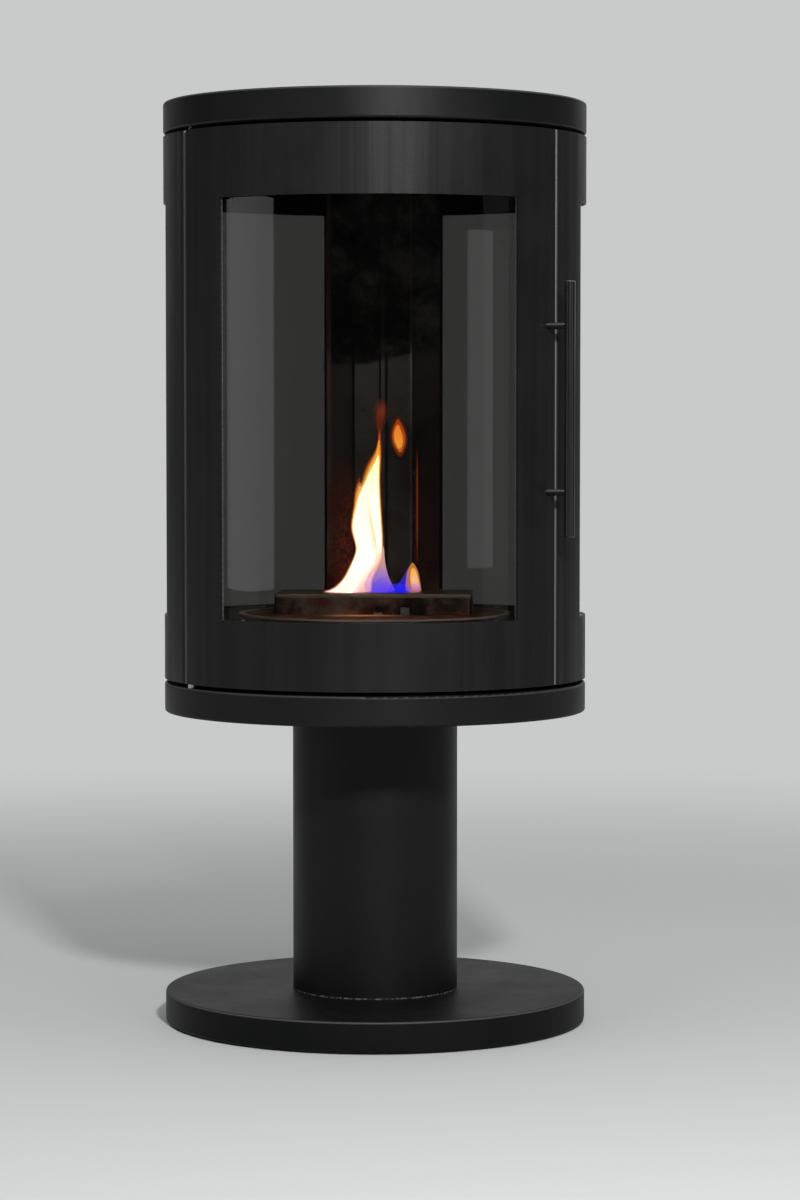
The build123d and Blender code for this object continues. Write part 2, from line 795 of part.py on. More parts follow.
with BuildPart() as door_retainer_screws:
    retainer_screws(*door_window)
save(door_retainer_screws, "door_retainer_screws")


# Handle: round bar on two studs, screwed from inside the door
stud_tip_radius = handle_center_radius - handle_diameter / 2 + handle_socket_depth
with BuildPart() as handle_bar:
    with BuildSketch(Plane.XY.offset(handle_mid_height - handle_length / 2)):
        with Locations(place(handle_bearing, handle_center_radius)):
            Circle(handle_diameter / 2)
    extrude(amount=handle_length)
    chamfer(handle_bar.edges().filter_by(GeomType.CIRCLE), length=handle_end_chamfer)
    for level in handle_levels:
        radial_rod(handle_bearing, handle_center_radius - handle_diameter, stud_tip_radius,
                   level, handle_stud_diameter / 2 + assembly_gap, Mode.SUBTRACT)
save(handle_bar, "handle_bar")

with BuildPart() as handle_studs:
    for level in handle_levels:
        radial_rod(handle_bearing, outer_radius, stud_tip_radius - assembly_gap,
                   level, handle_stud_diameter / 2)
        radial_rod(handle_bearing, outer_radius, outer_radius + handle_screw_length,
                   level, handle_screw_diameter / 2 + bolt_hole_gap, Mode.SUBTRACT)
save(handle_studs, "handle_studs")

with BuildPart() as handle_screws:
    for level in handle_levels:
        radial_rod(handle_bearing, sheet_inner_radius - handle_screw_head,
                   sheet_inner_radius - assembly_gap, level,
                   handle_screw_diameter * pan_head_ratio)
        radial_rod(handle_bearing, sheet_inner_radius - 2 * assembly_gap,
                   outer_radius + handle_screw_length - handle_screw_tip_gap, level,
                   handle_screw_diameter / 2)
save(handle_screws, "handle_screws")


# Catch: one magnet on the casing floor, one under the roof
magnet_middle = rib_inner_radius - magnet_air_gap - magnet_depth / 2
with BuildPart() as catch_magnets:
    for bottom in (casing_floor_top, casing_roof_bottom - magnet_height):
        with BuildSketch(Plane.XY.offset(bottom)):
            with Locations(Location(place(magnet_bearing, magnet_middle), magnet_bearing)):
                Rectangle(magnet_width, magnet_depth)
        extrude(amount=magnet_height)
save(catch_magnets, "catch_magnets")


# Hearth: floor sheet on posts, with a round disc on it
rear_margin = arc_degrees(hearth_liner_gap, liner_radius)
rear_bearings = [liner_bearings[0] - rear_margin, *liner_bearings[1:3],
                 liner_bearings[3] + rear_margin]
hearth_rear = [place(b, liner_radius - liner_thickness - hearth_liner_gap)
               for b in rear_bearings]
tank_opening_length = tank_length + 2 * tank_opening_gap
tank_opening_width = tank_width + 2 * tank_opening_gap
with BuildPart() as floor_plate:
    with BuildSketch(Plane.XY.offset(hearth_bottom)):
        Circle(hearth_radius)
        Rectangle(tank_opening_length, tank_opening_width, mode=Mode.SUBTRACT)
        with PolarLocations(hearth_post_circle, hearth_post_count, start_angle=foot_turn):
            Circle(small_screw_diameter / 2 + bolt_hole_gap, mode=Mode.SUBTRACT)
        with BuildLine():
            Polyline(*hearth_rear, *[place(b, outer_radius) for b in reversed(rear_bearings)],
                     close=True)
        make_face(mode=Mode.SUBTRACT)
    extrude(amount=hearth_sheet)
save(floor_plate, "floor_plate")

post_height = hearth_bottom - casing_floor_top
with BuildPart() as floor_posts:
    discs(hearth_post_radius, hearth_post_circle, hearth_post_count, casing_floor_top, post_height,
          turn=foot_turn)
    discs(small_screw_diameter / 2 + bolt_hole_gap, hearth_post_circle, hearth_post_count,
          hearth_bottom - floor_screw_length, floor_screw_length, Mode.SUBTRACT, foot_turn)
save(floor_posts, "floor_posts")

with BuildPart() as floor_screws:
    discs(small_screw_diameter * pan_head_ratio, hearth_post_circle, hearth_post_count, hearth_height,
          floor_head_height, turn=foot_turn)
    discs(small_screw_diameter / 2, hearth_post_circle, hearth_post_count,
          hearth_height - floor_screw_length, floor_screw_length, turn=foot_turn)
save(floor_screws, "floor_screws")

with BuildPart() as burner_disc:
    with BuildSketch(Plane.XY.offset(hearth_height)):
        Circle(disc_radius)
        Rectangle(tank_opening_length, tank_opening_width, mode=Mode.SUBTRACT)
    extrude(amount=disc_thickness)
save(burner_disc, "burner_disc")


# Burner: casing with the fire slot, sliding shutter, tank and wool
slot_front = burner_depth / 2 - slot_front_inset
slot_middle = -slot_front + slot_width / 2
with BuildPart() as burner_casing:
    with BuildSketch(Plane.XY.offset(disc_top)):
        RectangleRounded(burner_length, burner_depth, burner_corner)
    extrude(amount=burner_height)
    fillet(burner_casing.faces().sort_by(Axis.Z)[-1].edges(), radius=burner_sheet)
    with BuildSketch(Plane.XY.offset(disc_top)):
        RectangleRounded(burner_length - 2 * burner_sheet, burner_depth - 2 * burner_sheet,
                         burner_corner - burner_sheet)
    extrude(amount=burner_height - burner_sheet, mode=Mode.SUBTRACT)
    with BuildSketch(Plane.XY.offset(burner_ceiling)):
        with Locations((0, slot_middle)):
            Rectangle(slot_length, slot_width)
    extrude(amount=burner_sheet, mode=Mode.SUBTRACT)
    with BuildSketch(Plane.XZ.offset(burner_depth / 2 - 2 * burner_sheet)):
        with Locations((arch_offset, disc_top + (arch_height - arch_width / 2) / 2)):
            Rectangle(arch_width, arch_height - arch_width / 2)
        with Locations((arch_offset, disc_top + arch_height - arch_width / 2)):
            Circle(arch_width / 2)
    extrude(amount=3 * burner_sheet, mode=Mode.SUBTRACT)
save(burner_casing, "burner_casing")

with BuildPart() as burner_clip:
    with BuildSketch(Plane.XY.offset(disc_top)):
        with Locations((clip_offset, -burner_depth / 2 - clip_thickness / 2)):
            Rectangle(clip_width, clip_thickness)
    extrude(amount=clip_height)
    fillet(burner_clip.edges().filter_by(Axis.Z), radius=clip_corner)
save(burner_clip, "burner_clip")

shutter_top = burner_ceiling - shutter_gap
shutter_bottom = shutter_top - shutter_thickness
shutter_length = slot_length + 2 * shutter_side_lap
shutter_width = slot_width + shutter_front_lap + shutter_rear_lap
shutter_front = -slot_front + slot_width - shutter_lip
shutter_middle = shutter_front + shutter_width / 2
with BuildPart() as burner_shutter:
    with BuildSketch(Plane.XY.offset(shutter_bottom)):
        with Locations((0, shutter_middle)):
            RectangleRounded(shutter_length, shutter_width, shutter_corner)
        with Locations((0, shutter_front + shutter_hole_inset)):
            Circle(shutter_hole_radius, mode=Mode.SUBTRACT)
    extrude(amount=shutter_thickness)
save(burner_shutter, "burner_shutter")

shutter_travel = slot_width + shutter_front_lap - shutter_lip
rail_front = -slot_front - shutter_front_lap
rail_length = shutter_width + shutter_travel
rail_web = shutter_length / 2 + shutter_gap
rail_bottom = shutter_bottom - shutter_gap - rail_thickness
with BuildPart() as shutter_rails:
    with BuildSketch(Plane.XY.offset(rail_bottom)):
        for side in (-1, 1):
            with Locations((side * (rail_web + rail_thickness - rail_foot / 2),
                            rail_front + rail_length / 2)):
                Rectangle(rail_foot, rail_length)
    extrude(amount=rail_thickness)
    with BuildSketch(Plane.XY.offset(rail_bottom)):
        for side in (-1, 1):
            with Locations((side * (rail_web + rail_thickness / 2),
                            rail_front + rail_length / 2)):
                Rectangle(rail_thickness, rail_length)
    extrude(amount=burner_ceiling - rail_bottom)
save(shutter_rails, "shutter_rails")

with BuildPart() as fuel_tank:
    with BuildSketch(Plane.XY.offset(disc_top)):
        Rectangle(tank_length + 2 * tank_flange, tank_width + 2 * tank_flange)
    extrude(amount=burner_sheet)
    with BuildSketch(Plane.XY.offset(disc_top - tank_depth)):
        Rectangle(tank_length, tank_width)
    extrude(amount=tank_depth)
    with BuildSketch(Plane.XY.offset(disc_top - tank_depth + burner_sheet)):
        Rectangle(tank_length - 2 * burner_sheet, tank_width - 2 * burner_sheet)
    extrude(amount=tank_depth, mode=Mode.SUBTRACT)
save(fuel_tank, "fuel_tank")

with BuildPart() as tank_wool:
    with BuildSketch(Plane.XY.offset(disc_top - tank_depth + burner_sheet)):
        Rectangle(tank_length - 2 * burner_sheet - 2 * wool_gap,
                  tank_width - 2 * burner_sheet - 2 * wool_gap)
    extrude(amount=tank_depth - burner_sheet - wool_drop)
save(tank_wool, "tank_wool")

print("door", round(door_left, 3), round(door_right, 3), "hinge", place(hinge_bearing, hinge_radius))
print("total height", top_top, "shutter travel", shutter_travel)
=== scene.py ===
import math

import bmesh
import bpy
from mathutils import Matrix, Vector


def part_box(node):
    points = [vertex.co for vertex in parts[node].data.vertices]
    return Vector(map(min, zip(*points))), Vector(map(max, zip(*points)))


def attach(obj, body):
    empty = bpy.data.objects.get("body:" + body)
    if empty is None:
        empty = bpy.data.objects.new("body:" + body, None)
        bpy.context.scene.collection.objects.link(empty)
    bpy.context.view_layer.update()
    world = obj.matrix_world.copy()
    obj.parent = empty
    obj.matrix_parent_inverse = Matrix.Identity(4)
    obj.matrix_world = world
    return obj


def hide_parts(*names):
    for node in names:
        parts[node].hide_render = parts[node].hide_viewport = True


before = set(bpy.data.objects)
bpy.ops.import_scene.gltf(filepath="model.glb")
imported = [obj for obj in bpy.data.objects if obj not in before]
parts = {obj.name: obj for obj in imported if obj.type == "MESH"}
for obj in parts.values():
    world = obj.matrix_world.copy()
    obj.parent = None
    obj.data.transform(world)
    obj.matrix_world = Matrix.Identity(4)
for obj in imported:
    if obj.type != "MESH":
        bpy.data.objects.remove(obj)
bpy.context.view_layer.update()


# Studio: a plain pale floor under plain soft light. A small softbox stands above the
# camera at its right, a wide one at the left and a narrow one at the right show as
# pale strips in the curved glass, one hangs overhead and two light the back.
def linear(colour):
    """Turns an sRGB hex colour into linear values."""
    values = [int(colour[i:i + 2], 16) / 255 for i in (1, 3, 5)]
    values = [v / 12.92 if v <= 0.04045 else ((v + 0.055) / 1.055) ** 2.4 for v in values]
    return (*values, 1.0)


def feed(node, inputs):
    """Sets a node's inputs: to a value, to an output, or to the first output of a node."""
    for key, value in inputs.items():
        if isinstance(value, bpy.types.Node):
            value = value.outputs[0]
        if isinstance(value, bpy.types.NodeSocket):
            node.id_data.links.new(value, node.inputs[key])
        else:
            node.inputs[key].default_value = value


def add(tree, kind, inputs=None, stops=(), **settings):
    """Adds a shader node with its settings, its inputs and its colour stops."""
    made = tree.nodes.new("ShaderNode" + kind)
    for key, value in settings.items():
        setattr(made, key, value)
    feed(made, inputs or {})
    for i, (place, colour) in enumerate(stops):
        stop = made.color_ramp.elements[i] if i < 2 else made.color_ramp.elements.new(place)
        stop.position = place
        stop.color = linear(colour)
    return made


bpy.context.scene.view_settings.view_transform = "Standard"
air_colour = "#c9caca"
world = bpy.data.worlds.new("Studio_air")
bpy.context.scene.world = world
world.use_nodes = True
feed(world.node_tree.nodes["Background"], {"Color": linear(air_colour)})

# The floor fades into the colour of the air, so that no edge of it shows.
bpy.ops.mesh.primitive_circle_add(vertices=96, radius=30.0, fill_type="NGON")
floor = bpy.context.object
floor.name = "floor"
floor_paint = bpy.data.materials.new("Matt_pale_floor_paint")
floor_paint.use_nodes = True
tree = floor_paint.node_tree
coords = add(tree, "TexCoord").outputs["Object"]
distance = add(tree, "VectorMath", {0: coords}, operation="LENGTH").outputs["Value"]
fade = add(tree, "MapRange", {"Value": distance, "From Min": 0.9, "From Max": 3.2},
           interpolation_type="SMOOTHSTEP")
matt = add(tree, "BsdfDiffuse", {"Color": linear("#d6d7d7")})
far = add(tree, "Emission", {"Color": linear(air_colour)})
both = add(tree, "MixShader", {0: fade, 1: matt, 2: far})
feed(tree.nodes["Material Output"], {"Surface": both})
floor.data.materials.append(floor_paint)


def bearing_point(bearing, radius, height):
    """Point at a bearing from the front towards the right, as seen from above."""
    turn = math.radians(bearing)
    return Vector((radius * math.sin(turn), -radius * math.cos(turn), height))


# Dark curved cards stand behind the camera and at its sides, so that the glass and
# the black paint mirror them there and stay dark. No camera sees them, and the
# wide one is not seen through glass.
card_height = 6.0
card_middle = 2.9
card_felt = bpy.data.materials.new("Dull_black_felt")
card_felt.use_nodes = True
tree = card_felt.node_tree
felt = add(tree, "BsdfDiffuse", {"Color": linear("#2a2a2a")})
feed(tree.nodes["Material Output"], {"Surface": felt})
for name, radius, edge, through in (("wide_card", 7.0, 6.3, False),
                                    ("front_card", 6.8, -3.0, True)):
    bpy.ops.object.select_all(action="DESELECT")
    bpy.ops.mesh.primitive_cylinder_add(vertices=96, radius=radius, depth=card_height,
                                        end_fill_type="NOTHING",
                                        location=(0, 0, card_middle))
    card = bpy.context.object
    card.name = name
    bpy.ops.object.mode_set(mode="EDIT")
    bpy.ops.mesh.select_all(action="SELECT")
    bpy.ops.mesh.bisect(plane_co=(0, edge, 0), plane_no=(0, 1, 0), clear_outer=True)
    bpy.ops.object.mode_set(mode="OBJECT")
    card.data.materials.append(card_felt)
    card.visible_camera = False
    card.visible_transmission = through
    card.visible_shadow = False

# Name, place, width and height in metres, and power in watts.
body_middle = Vector((0, 0, 0.75))
softboxes = (
    ("key_softbox", bearing_point(13.6, 2.95, 2.0), 0.26, 0.26, 78.0),
    ("left_softbox", bearing_point(-69.0, 2.6, 0.76), 1.56, 0.717, 2.5),
    ("right_softbox", bearing_point(60.0, 2.6, 0.75), 0.7, 0.61, 0.7),
    ("top_softbox", bearing_point(30.0, 0.6, 3.2), 1.6, 1.6, 6.0),
    ("rear_left_softbox", bearing_point(-140.0, 3.2, 1.7), 1.8, 1.8, 3.2),
    ("rear_right_softbox", bearing_point(145.0, 3.2, 1.7), 1.8, 1.8, 3.2))
for name, place, width, height, power in softboxes:
    lamp = bpy.data.lights.new(name, "AREA")
    lamp.shape = "RECTANGLE"
    lamp.size = width
    lamp.size_y = height
    lamp.energy = power
    held = bpy.data.objects.new(name, lamp)
    bpy.context.scene.collection.objects.link(held)
    held.location = place
    aim = Vector((0, 0, place.z)) if name in ("left_softbox", "right_softbox") else body_middle
    held.rotation_euler = (place - aim).to_track_quat("Z", "Y").to_euler()

camera_bearing = 2.6
camera_distance = 4.175
camera_height = 0.7198
aim_right = 0.0297
aim_height = 0.501
lens = bpy.data.cameras.new("camera")
lens.lens = 105.3
lens.sensor_width = 36.0
lens.clip_end = 100.0
camera = bpy.data.objects.new("camera", lens)
bpy.context.scene.collection.objects.link(camera)
bpy.context.scene.camera = camera
camera.location = bearing_point(camera_bearing, camera_distance, camera_height)
aim = bearing_point(camera_bearing + 90.0, aim_right, aim_height)
camera.rotation_euler = (camera.location - aim).to_track_quat("Z", "Y").to_euler()


# Foot pads: dense black rubber discs, stamped from sheet, under the base.
# Zinc-plated pan-head screws with a hexagon socket hold them and the base cover.
def new_finish(name, constants):
    """Starts a finish with constant values on the shader's own sockets."""
    made = bpy.data.materials.new(name)
    made.use_nodes = True
    shader = made.node_tree.nodes["Principled BSDF"]
    feed(shader, constants)
    coords = add(made.node_tree, "TexCoord").outputs["Object"]
    return made, made.node_tree, shader, coords


def mottled(name, constants, noise, stops):
    """A finish whose colour drifts between tones, in spots of about 1 / Scale metres."""
    made, tree, shader, coords = new_finish(name, constants)
    spots = add(tree, "TexNoise", {"Vector": coords, **noise})
    tint = add(tree, "ValToRGB", {"Fac": spots}, stops=stops)
    feed(shader, {"Base Color": tint})
    return made


def dress(finish, *names):
    """Gives CAD nodes a finish."""
    for name in names:
        parts[name].material_slots[0].material = finish


# Nitrile rubber, stamped: dull, dark grey and slightly dusty.
pad_rubber = mottled("Stamped_nitrile_rubber", {"Roughness": 0.78},
                     {"Scale": 180.0, "Detail": 4.0}, ((0.35, "#141414"), (0.75, "#232221")))
dress(pad_rubber, "foot_pads")

# Zinc-plated steel, barrel plated: pale grey with a faint warm and blue cast.
zinc = mottled("Zinc_plated_steel", {"Metallic": 1.0, "Roughness": 0.36},
               {"Scale": 260.0, "Detail": 3.0}, ((0.3, "#a7a9ac"), (0.7, "#b9b4a6")))
dress(zinc, "foot_screws")


# Base disc: a pressed steel cap with a rolled edge, painted satin black, over a
# raw steel ballast plate on turned posts, and closed below by a thin cover.
def stove_paint(name, streaks, gloss_and_highlight=0.0, gloss=0.2, edge_highlight=0.0):
    """Satin black silicone stove paint, sprayed and baked: fine orange peel, slightly cloudy gloss.

    Streaks are faint upright bands of rolled sheet in the bumps and the gloss, with
    paler bands painted in as reflections. Where told, bends get a painted highlight
    and a smoother film, and rounded upper edges a painted highlight. The orange peel
    is about 0.8 mm in the real paint, and is drawn 3 mm wide to show.
    """
    made, tree, shader, coords = new_finish(name, {"IOR": 1.5, "Specular IOR Level": gloss})
    cloud = add(tree, "TexNoise",
                {"Vector": coords, "Scale": 11.0, "Detail": 4.0, "Roughness": 0.6})
    tint = add(tree, "ValToRGB", {"Fac": cloud}, stops=((0.3, "#0e0f0f"), (0.7, "#141414")))
    facing = add(tree, "NewGeometry").outputs["Normal"]
    upward = add(tree, "SeparateXYZ", {0: facing}).outputs["Z"]
    specks = add(tree, "TexNoise",
                 {"Vector": coords, "Scale": 70.0, "Detail": 6.0, "Roughness": 0.7})
    dust = add(tree, "MapRange",
               {"Value": specks, "From Min": 0.45, "From Max": 0.8, "To Max": 0.13})
    lying = add(tree, "MapRange", {"Value": upward, "From Min": 0.8})
    lying = add(tree, "Math", {0: dust, 1: lying}, operation="MULTIPLY")
    tint = add(tree, "Mix", {0: lying, 6: tint, 7: linear("#4a4845")}, data_type="RGBA")
    # Painted highlight on rounded edges that face partly upwards.
    if edge_highlight:
        edge = add(tree, "ValToRGB", {"Fac": upward},
                   stops=((0.1, "#000000"), (0.45, "#ffffff"), (0.7, "#ffffff"), (0.93, "#000000")))
        edge = add(tree, "Math", {0: edge, 1: edge_highlight}, operation="MULTIPLY")
        tint = add(tree, "Mix", {0: edge, 6: tint.outputs[2], 7: linear("#7a7977")},
                   data_type="RGBA")
    stretched = add(tree, "Mapping", {"Vector": coords, "Scale": (1, 1, 0.02)})
    bands = add(tree, "TexNoise", {"Vector": stretched, "Scale": 48.0, "Detail": 3.0})
    rough = add(tree, "MapRange", {"Value": cloud, "From Min": 0.3,
                                   "From Max": 0.7, "To Min": 0.42, "To Max": 0.52})
    # Paler upright bands are painted reflections; the same bands also vary the gloss.
    if streaks:
        reflected_bands = add(tree, "MapRange",
                    {"Value": bands, "From Min": 0.35, "From Max": 0.7, "To Max": 0.16 * streaks})
        tint = add(tree, "Mix", {0: reflected_bands, 6: tint.outputs[2], 7: linear("#4c4c4b")},
                   data_type="RGBA")
        banded = add(tree, "MapRange", {"Value": bands, "From Min": 0.3, "From Max": 0.7,
                                        "To Min": 0.1 * streaks, "To Max": -0.1 * streaks})
        rough = add(tree, "Math", {0: rough, 1: banded}, operation="ADD")
    # Painted highlight along the bends, which are also made a little smoother.
    if gloss_and_highlight:
        level = add(tree, "VectorMath", {0: coords, 1: (1, 1, 0)}, operation="MULTIPLY")
        outward = add(tree, "VectorMath", {0: level}, operation="NORMALIZE")
        turned = add(tree, "VectorMath", {0: outward, 1: facing},
                     operation="DOT_PRODUCT").outputs["Value"]
        bend = add(tree, "MapRange",
                   {"Value": turned, "From Min": 0.7, "From Max": 0.42, "To Max": gloss_and_highlight})
        inner = add(tree, "MapRange", {"Value": turned, "From Min": 0.2, "From Max": 0.36})
        bend = add(tree, "Math", {0: bend, 1: inner}, operation="MULTIPLY")
        tint = add(tree, "Mix", {0: bend, 6: tint.outputs[2], 7: linear("#a4a3a1")},
                   data_type="RGBA")
        rough = add(tree, "Math", {0: bend, 1: -0.12, 2: rough}, operation="MULTIPLY_ADD")
    peel = add(tree, "TexNoise", {"Vector": coords, "Scale": 330.0, "Detail": 2.0})
    rolled = add(tree, "Bump", {"Height": bands, "Strength": streaks, "Distance": 0.0016})
    bumps = add(tree, "Bump",
                {"Height": peel, "Strength": 0.5, "Distance": 0.00012, "Normal": rolled})
    feed(shader, {"Base Color": tint.outputs[2], "Roughness": rough, "Normal": bumps})
    return made


# Its rounded upper edge carries a painted highlight.
dusty_paint = stove_paint("Satin_black_stove_paint_dulled_by_dust", 0.0, gloss=0.1, edge_highlight=0.35)
dress(dusty_paint, "base_shell")

# Hot-rolled mild steel, oiled: dull blue-grey with brown bloom.
raw_steel = mottled("Oiled_mild_steel", {"Metallic": 1.0, "Roughness": 0.48},
                    {"Scale": 55.0, "Detail": 5.0}, ((0.4, "#6f7072"), (0.75, "#6a5d52")))
dress(raw_steel, "base_ballast", "foot_posts")

# Matt black heat-resistant paint on inner sheet: rough, slightly brown from heat.
inner_paint, tree, shader, coords = new_finish(
    "Matt_black_heat_resistant_paint", {"Specular IOR Level": 0.3})
patches = add(tree, "TexNoise", {"Vector": coords, "Scale": 24.0, "Detail": 6.0})
tint = add(tree, "ValToRGB", {"Fac": patches}, stops=((0.35, "#141312"), (0.7, "#1f1c1a")))
rough = add(tree, "MapRange", {"Value": patches, "To Min": 0.62, "To Max": 0.85})
grit = add(tree, "TexNoise", {"Vector": coords, "Scale": 600.0})
bumps = add(tree, "Bump", {"Height": grit, "Strength": 0.4, "Distance": 0.0001})
feed(shader, {"Base Color": tint, "Roughness": rough, "Normal": bumps})
dress(inner_paint, "base_cover")


# Column: a drawn steel tube, painted satin black, with a bolted flange inside each
# end. A thin broken line of painted highlight runs along its foot, where it stands on
# the base.
foot_highlight_top = 0.0394
tube_paint = stove_paint("Satin_black_stove_paint_on_drawn_tube", 0.12)
tree = tube_paint.node_tree
shader = tree.nodes["Principled BSDF"]
coords = add(tree, "TexCoord").outputs["Object"]
height = add(tree, "SeparateXYZ", {0: coords}).outputs["Z"]
# Painted highlight: a pale line, broken by noise, along the tube's foot.
foot = add(tree, "MapRange",
           {"Value": height, "From Min": foot_highlight_top, "From Max": foot_highlight_top - 0.0006})
broken_foot_highlight = add(tree, "TexNoise", {"Vector": coords, "Scale": 210.0, "Detail": 3.0})
broken_foot_highlight = add(tree, "MapRange",
            {"Value": broken_foot_highlight, "From Min": 0.46, "From Max": 0.56, "To Min": 0.08, "To Max": 0.55})
broken_foot_highlight = add(tree, "Math", {0: broken_foot_highlight, 1: foot}, operation="MULTIPLY")
tint = add(tree, "Mix", {0: broken_foot_highlight, 7: linear("#8d8b88")}, data_type="RGBA")
feed(tint, {6: shader.inputs["Base Color"].links[0].from_socket})
feed(shader, {"Base Color": tint.outputs[2]})
dress(tube_paint, "column_tube")
dress(inner_paint, "column_flanges")
dress(zinc, "column_foot_bolts", "column_head_bolts")


# Lower disc: a pressed steel pan, painted satin black and closed above by a thin
# cover. It is bolted to the head of the column, and posts in it take the body's bolts.
# Its rounded upper edges carry a painted highlight.
pressed_paint = stove_paint("Satin_black_stove_paint_on_pressed_steel", 0.0, edge_highlight=0.22)
dress(pressed_paint, "drum_shell")
dress(inner_paint, "drum_cover")
dress(raw_steel, "drum_posts")


# Body: two walls of rolled sheet, joined by a strip at the back and folded inwards
# beside the door, with a painted highlight along the folds. Inner sheets make its
# floor, its roof and the baffle under the roof, and it is bolted on over spacers.
wall_paint = stove_paint("Satin_black_stove_paint_worn_at_the_folds", 0.6, gloss_and_highlight=0.5)
dress(wall_paint, "side_shell_left", "side_shell_right")
dress(inner_paint, "rear_joint_strip", "casing_floor", "casing_roof", "heat_baffle")
dress(raw_steel, "baffle_studs", "casing_spacers_lower", "casing_spacers_upper")
dress(zinc, "casing_bolts")


# Curved glass: clear heat-resistant panes bent to the radius of the body, with a
# light grey tint. Light passes to the fire chamber as through thin glass.
pane, tree, shader, coords = new_finish(
    "Curved_heat_resistant_glass",
    {"Base Color": linear("#868785"), "Transmission Weight": 1.0, "Roughness": 0.0, "IOR": 1.5})
clear = add(tree, "BsdfTransparent", {"Color": linear("#dcdcd9")})
both = add(tree, "MixShader",
           {0: add(tree, "LightPath").outputs["Is Shadow Ray"], 1: shader, 2: clear})
feed(tree.nodes["Material Output"], {"Surface": both})
dress(pane, "side_glass_left", "side_glass_right", "door_glass")


# Glass gaskets: flat black glass-fibre tape between glass and wall, squeezed at its
# edges. The weave is about 1 mm, and is drawn 2 mm wide so that it shows.
tape_weave, tree, shader, coords = new_finish(
    "Woven_glass_fibre_tape", {"Roughness": 0.9, "Sheen Weight": 0.25})
warp = add(tree, "TexWave", {"Vector": coords, "Scale": 80.0}, bands_direction="Z")
weft = add(tree, "TexWave", {"Vector": coords, "Scale": 80.0}, bands_direction="DIAGONAL")
weave = add(tree, "Math", {0: warp.outputs["Fac"], 1: weft.outputs["Fac"]}, operation="MULTIPLY")
tint = add(tree, "ValToRGB", {"Fac": weave}, stops=((0.1, "#141414"), (0.8, "#383735")))
bumps = add(tree, "Bump", {"Height": weave, "Distance": 0.0002})
feed(shader, {"Base Color": tint, "Normal": bumps})
tape_edge = 0.0009
for name, body in (("side_gasket_left", "stand"), ("side_gasket_right", "stand"),
                   ("door_gasket", "door")):
    bpy.ops.object.select_all(action="DESELECT")
    tape = bpy.data.objects.new(name.replace("gasket", "tape"), parts[name].data.copy())
    bpy.context.scene.collection.objects.link(tape)
    tape.select_set(True)
    bpy.context.view_layer.objects.active = tape
    bpy.ops.object.mode_set(mode="EDIT")
    bpy.ops.mesh.select_all(action="SELECT")
    bpy.ops.mesh.remove_doubles(threshold=0.00001)
    bpy.ops.mesh.dissolve_limited(angle_limit=math.radians(1.0))
    bpy.ops.object.mode_set(mode="OBJECT")
    edge = tape.modifiers.new("edge", "BEVEL")
    edge.width = tape_edge
    edge.segments = 2
    edge.limit_method = "ANGLE"
    edge.angle_limit = math.radians(60.0)
    bpy.ops.object.modifier_apply(modifier="edge")
    bpy.ops.object.shade_smooth_by_angle(angle=math.radians(35.0))
    tape.data.materials.clear()
    tape.data.materials.append(tape_weave)
    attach(tape, body)
    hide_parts(name)


# Retainers: curved bars, painted matt black, that clamp each pane against its tape.
# Blackened button-head screws with a hexagon socket hold them, four along the top and
# four along the bottom of each pane.
dress(inner_paint, "side_retainers_left", "side_retainers_right", "door_retainers")


def socket_screw(head_radius, head_height, shank_radius, shank_length):
    """One button-head screw on the Z axis, with its seat at the origin and its head up."""
    dome = 0.6 * head_height
    key_radius = 0.42 * head_radius
    bpy.ops.object.select_all(action="DESELECT")
    bpy.ops.mesh.primitive_cylinder_add(vertices=24, radius=head_radius, depth=head_height,
                                        location=(0, 0, head_height / 2))
    screw = bpy.context.object
    bpy.ops.object.transform_apply(location=True, rotation=True, scale=True)
    bpy.ops.object.mode_set(mode="EDIT")
    shape = bmesh.from_edit_mesh(screw.data)
    for face in shape.faces:
        face.select_set(False)
    for face in shape.faces:
        if face.normal.z < -0.9:
            face.select_set(True)
    bmesh.update_edit_mesh(screw.data)
    bpy.ops.mesh.inset(thickness=head_radius - shank_radius)
    bpy.ops.mesh.extrude_region_move(
        TRANSFORM_OT_translate={"value": (0, 0, -shank_length)})
    bpy.ops.mesh.select_all(action="DESELECT")
    shape = bmesh.from_edit_mesh(screw.data)
    for rim in shape.edges:
        if min(v.co.z for v in rim.verts) > head_height - 1e-6:
            rim.select_set(True)
    bmesh.update_edit_mesh(screw.data)
    bpy.ops.mesh.bevel(offset=dome, segments=3, profile=0.5)
    bpy.ops.object.mode_set(mode="OBJECT")
    bpy.ops.object.select_all(action="DESELECT")
    bpy.ops.mesh.primitive_cylinder_add(vertices=6, radius=key_radius, depth=head_height,
                                        location=(0, 0, 0.95 * head_height))
    key = bpy.context.object
    socket = screw.modifiers.new("socket", "BOOLEAN")
    socket.object = key
    socket.operation = "DIFFERENCE"
    socket.solver = "EXACT"
    bpy.context.view_layer.objects.active = screw
    bpy.ops.object.modifier_apply(modifier="socket")
    bpy.data.objects.remove(key)
    return screw


def set_screws(name, node, body, screw, seats, finish):
    """Copies a screw to each seat, a point and the direction its head faces, as one piece."""
    bpy.ops.object.select_all(action="DESELECT")
    for place, facing in seats:
        copy = bpy.data.objects.new(name, screw.data.copy())
        bpy.context.scene.collection.objects.link(copy)
        turn = Vector(facing).to_track_quat("Z", "Y").to_matrix().to_4x4()
        copy.data.transform(Matrix.Translation(place) @ turn)
        copy.select_set(True)
        bpy.context.view_layer.objects.active = copy
    bpy.ops.object.join()
    made = bpy.context.object
    made.name = name
    made.data.materials.clear()
    made.data.materials.append(finish)
    bpy.ops.object.shade_smooth_by_angle(angle=math.radians(30.0))
    bpy.data.objects.remove(screw)
    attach(made, body)
    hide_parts(node)


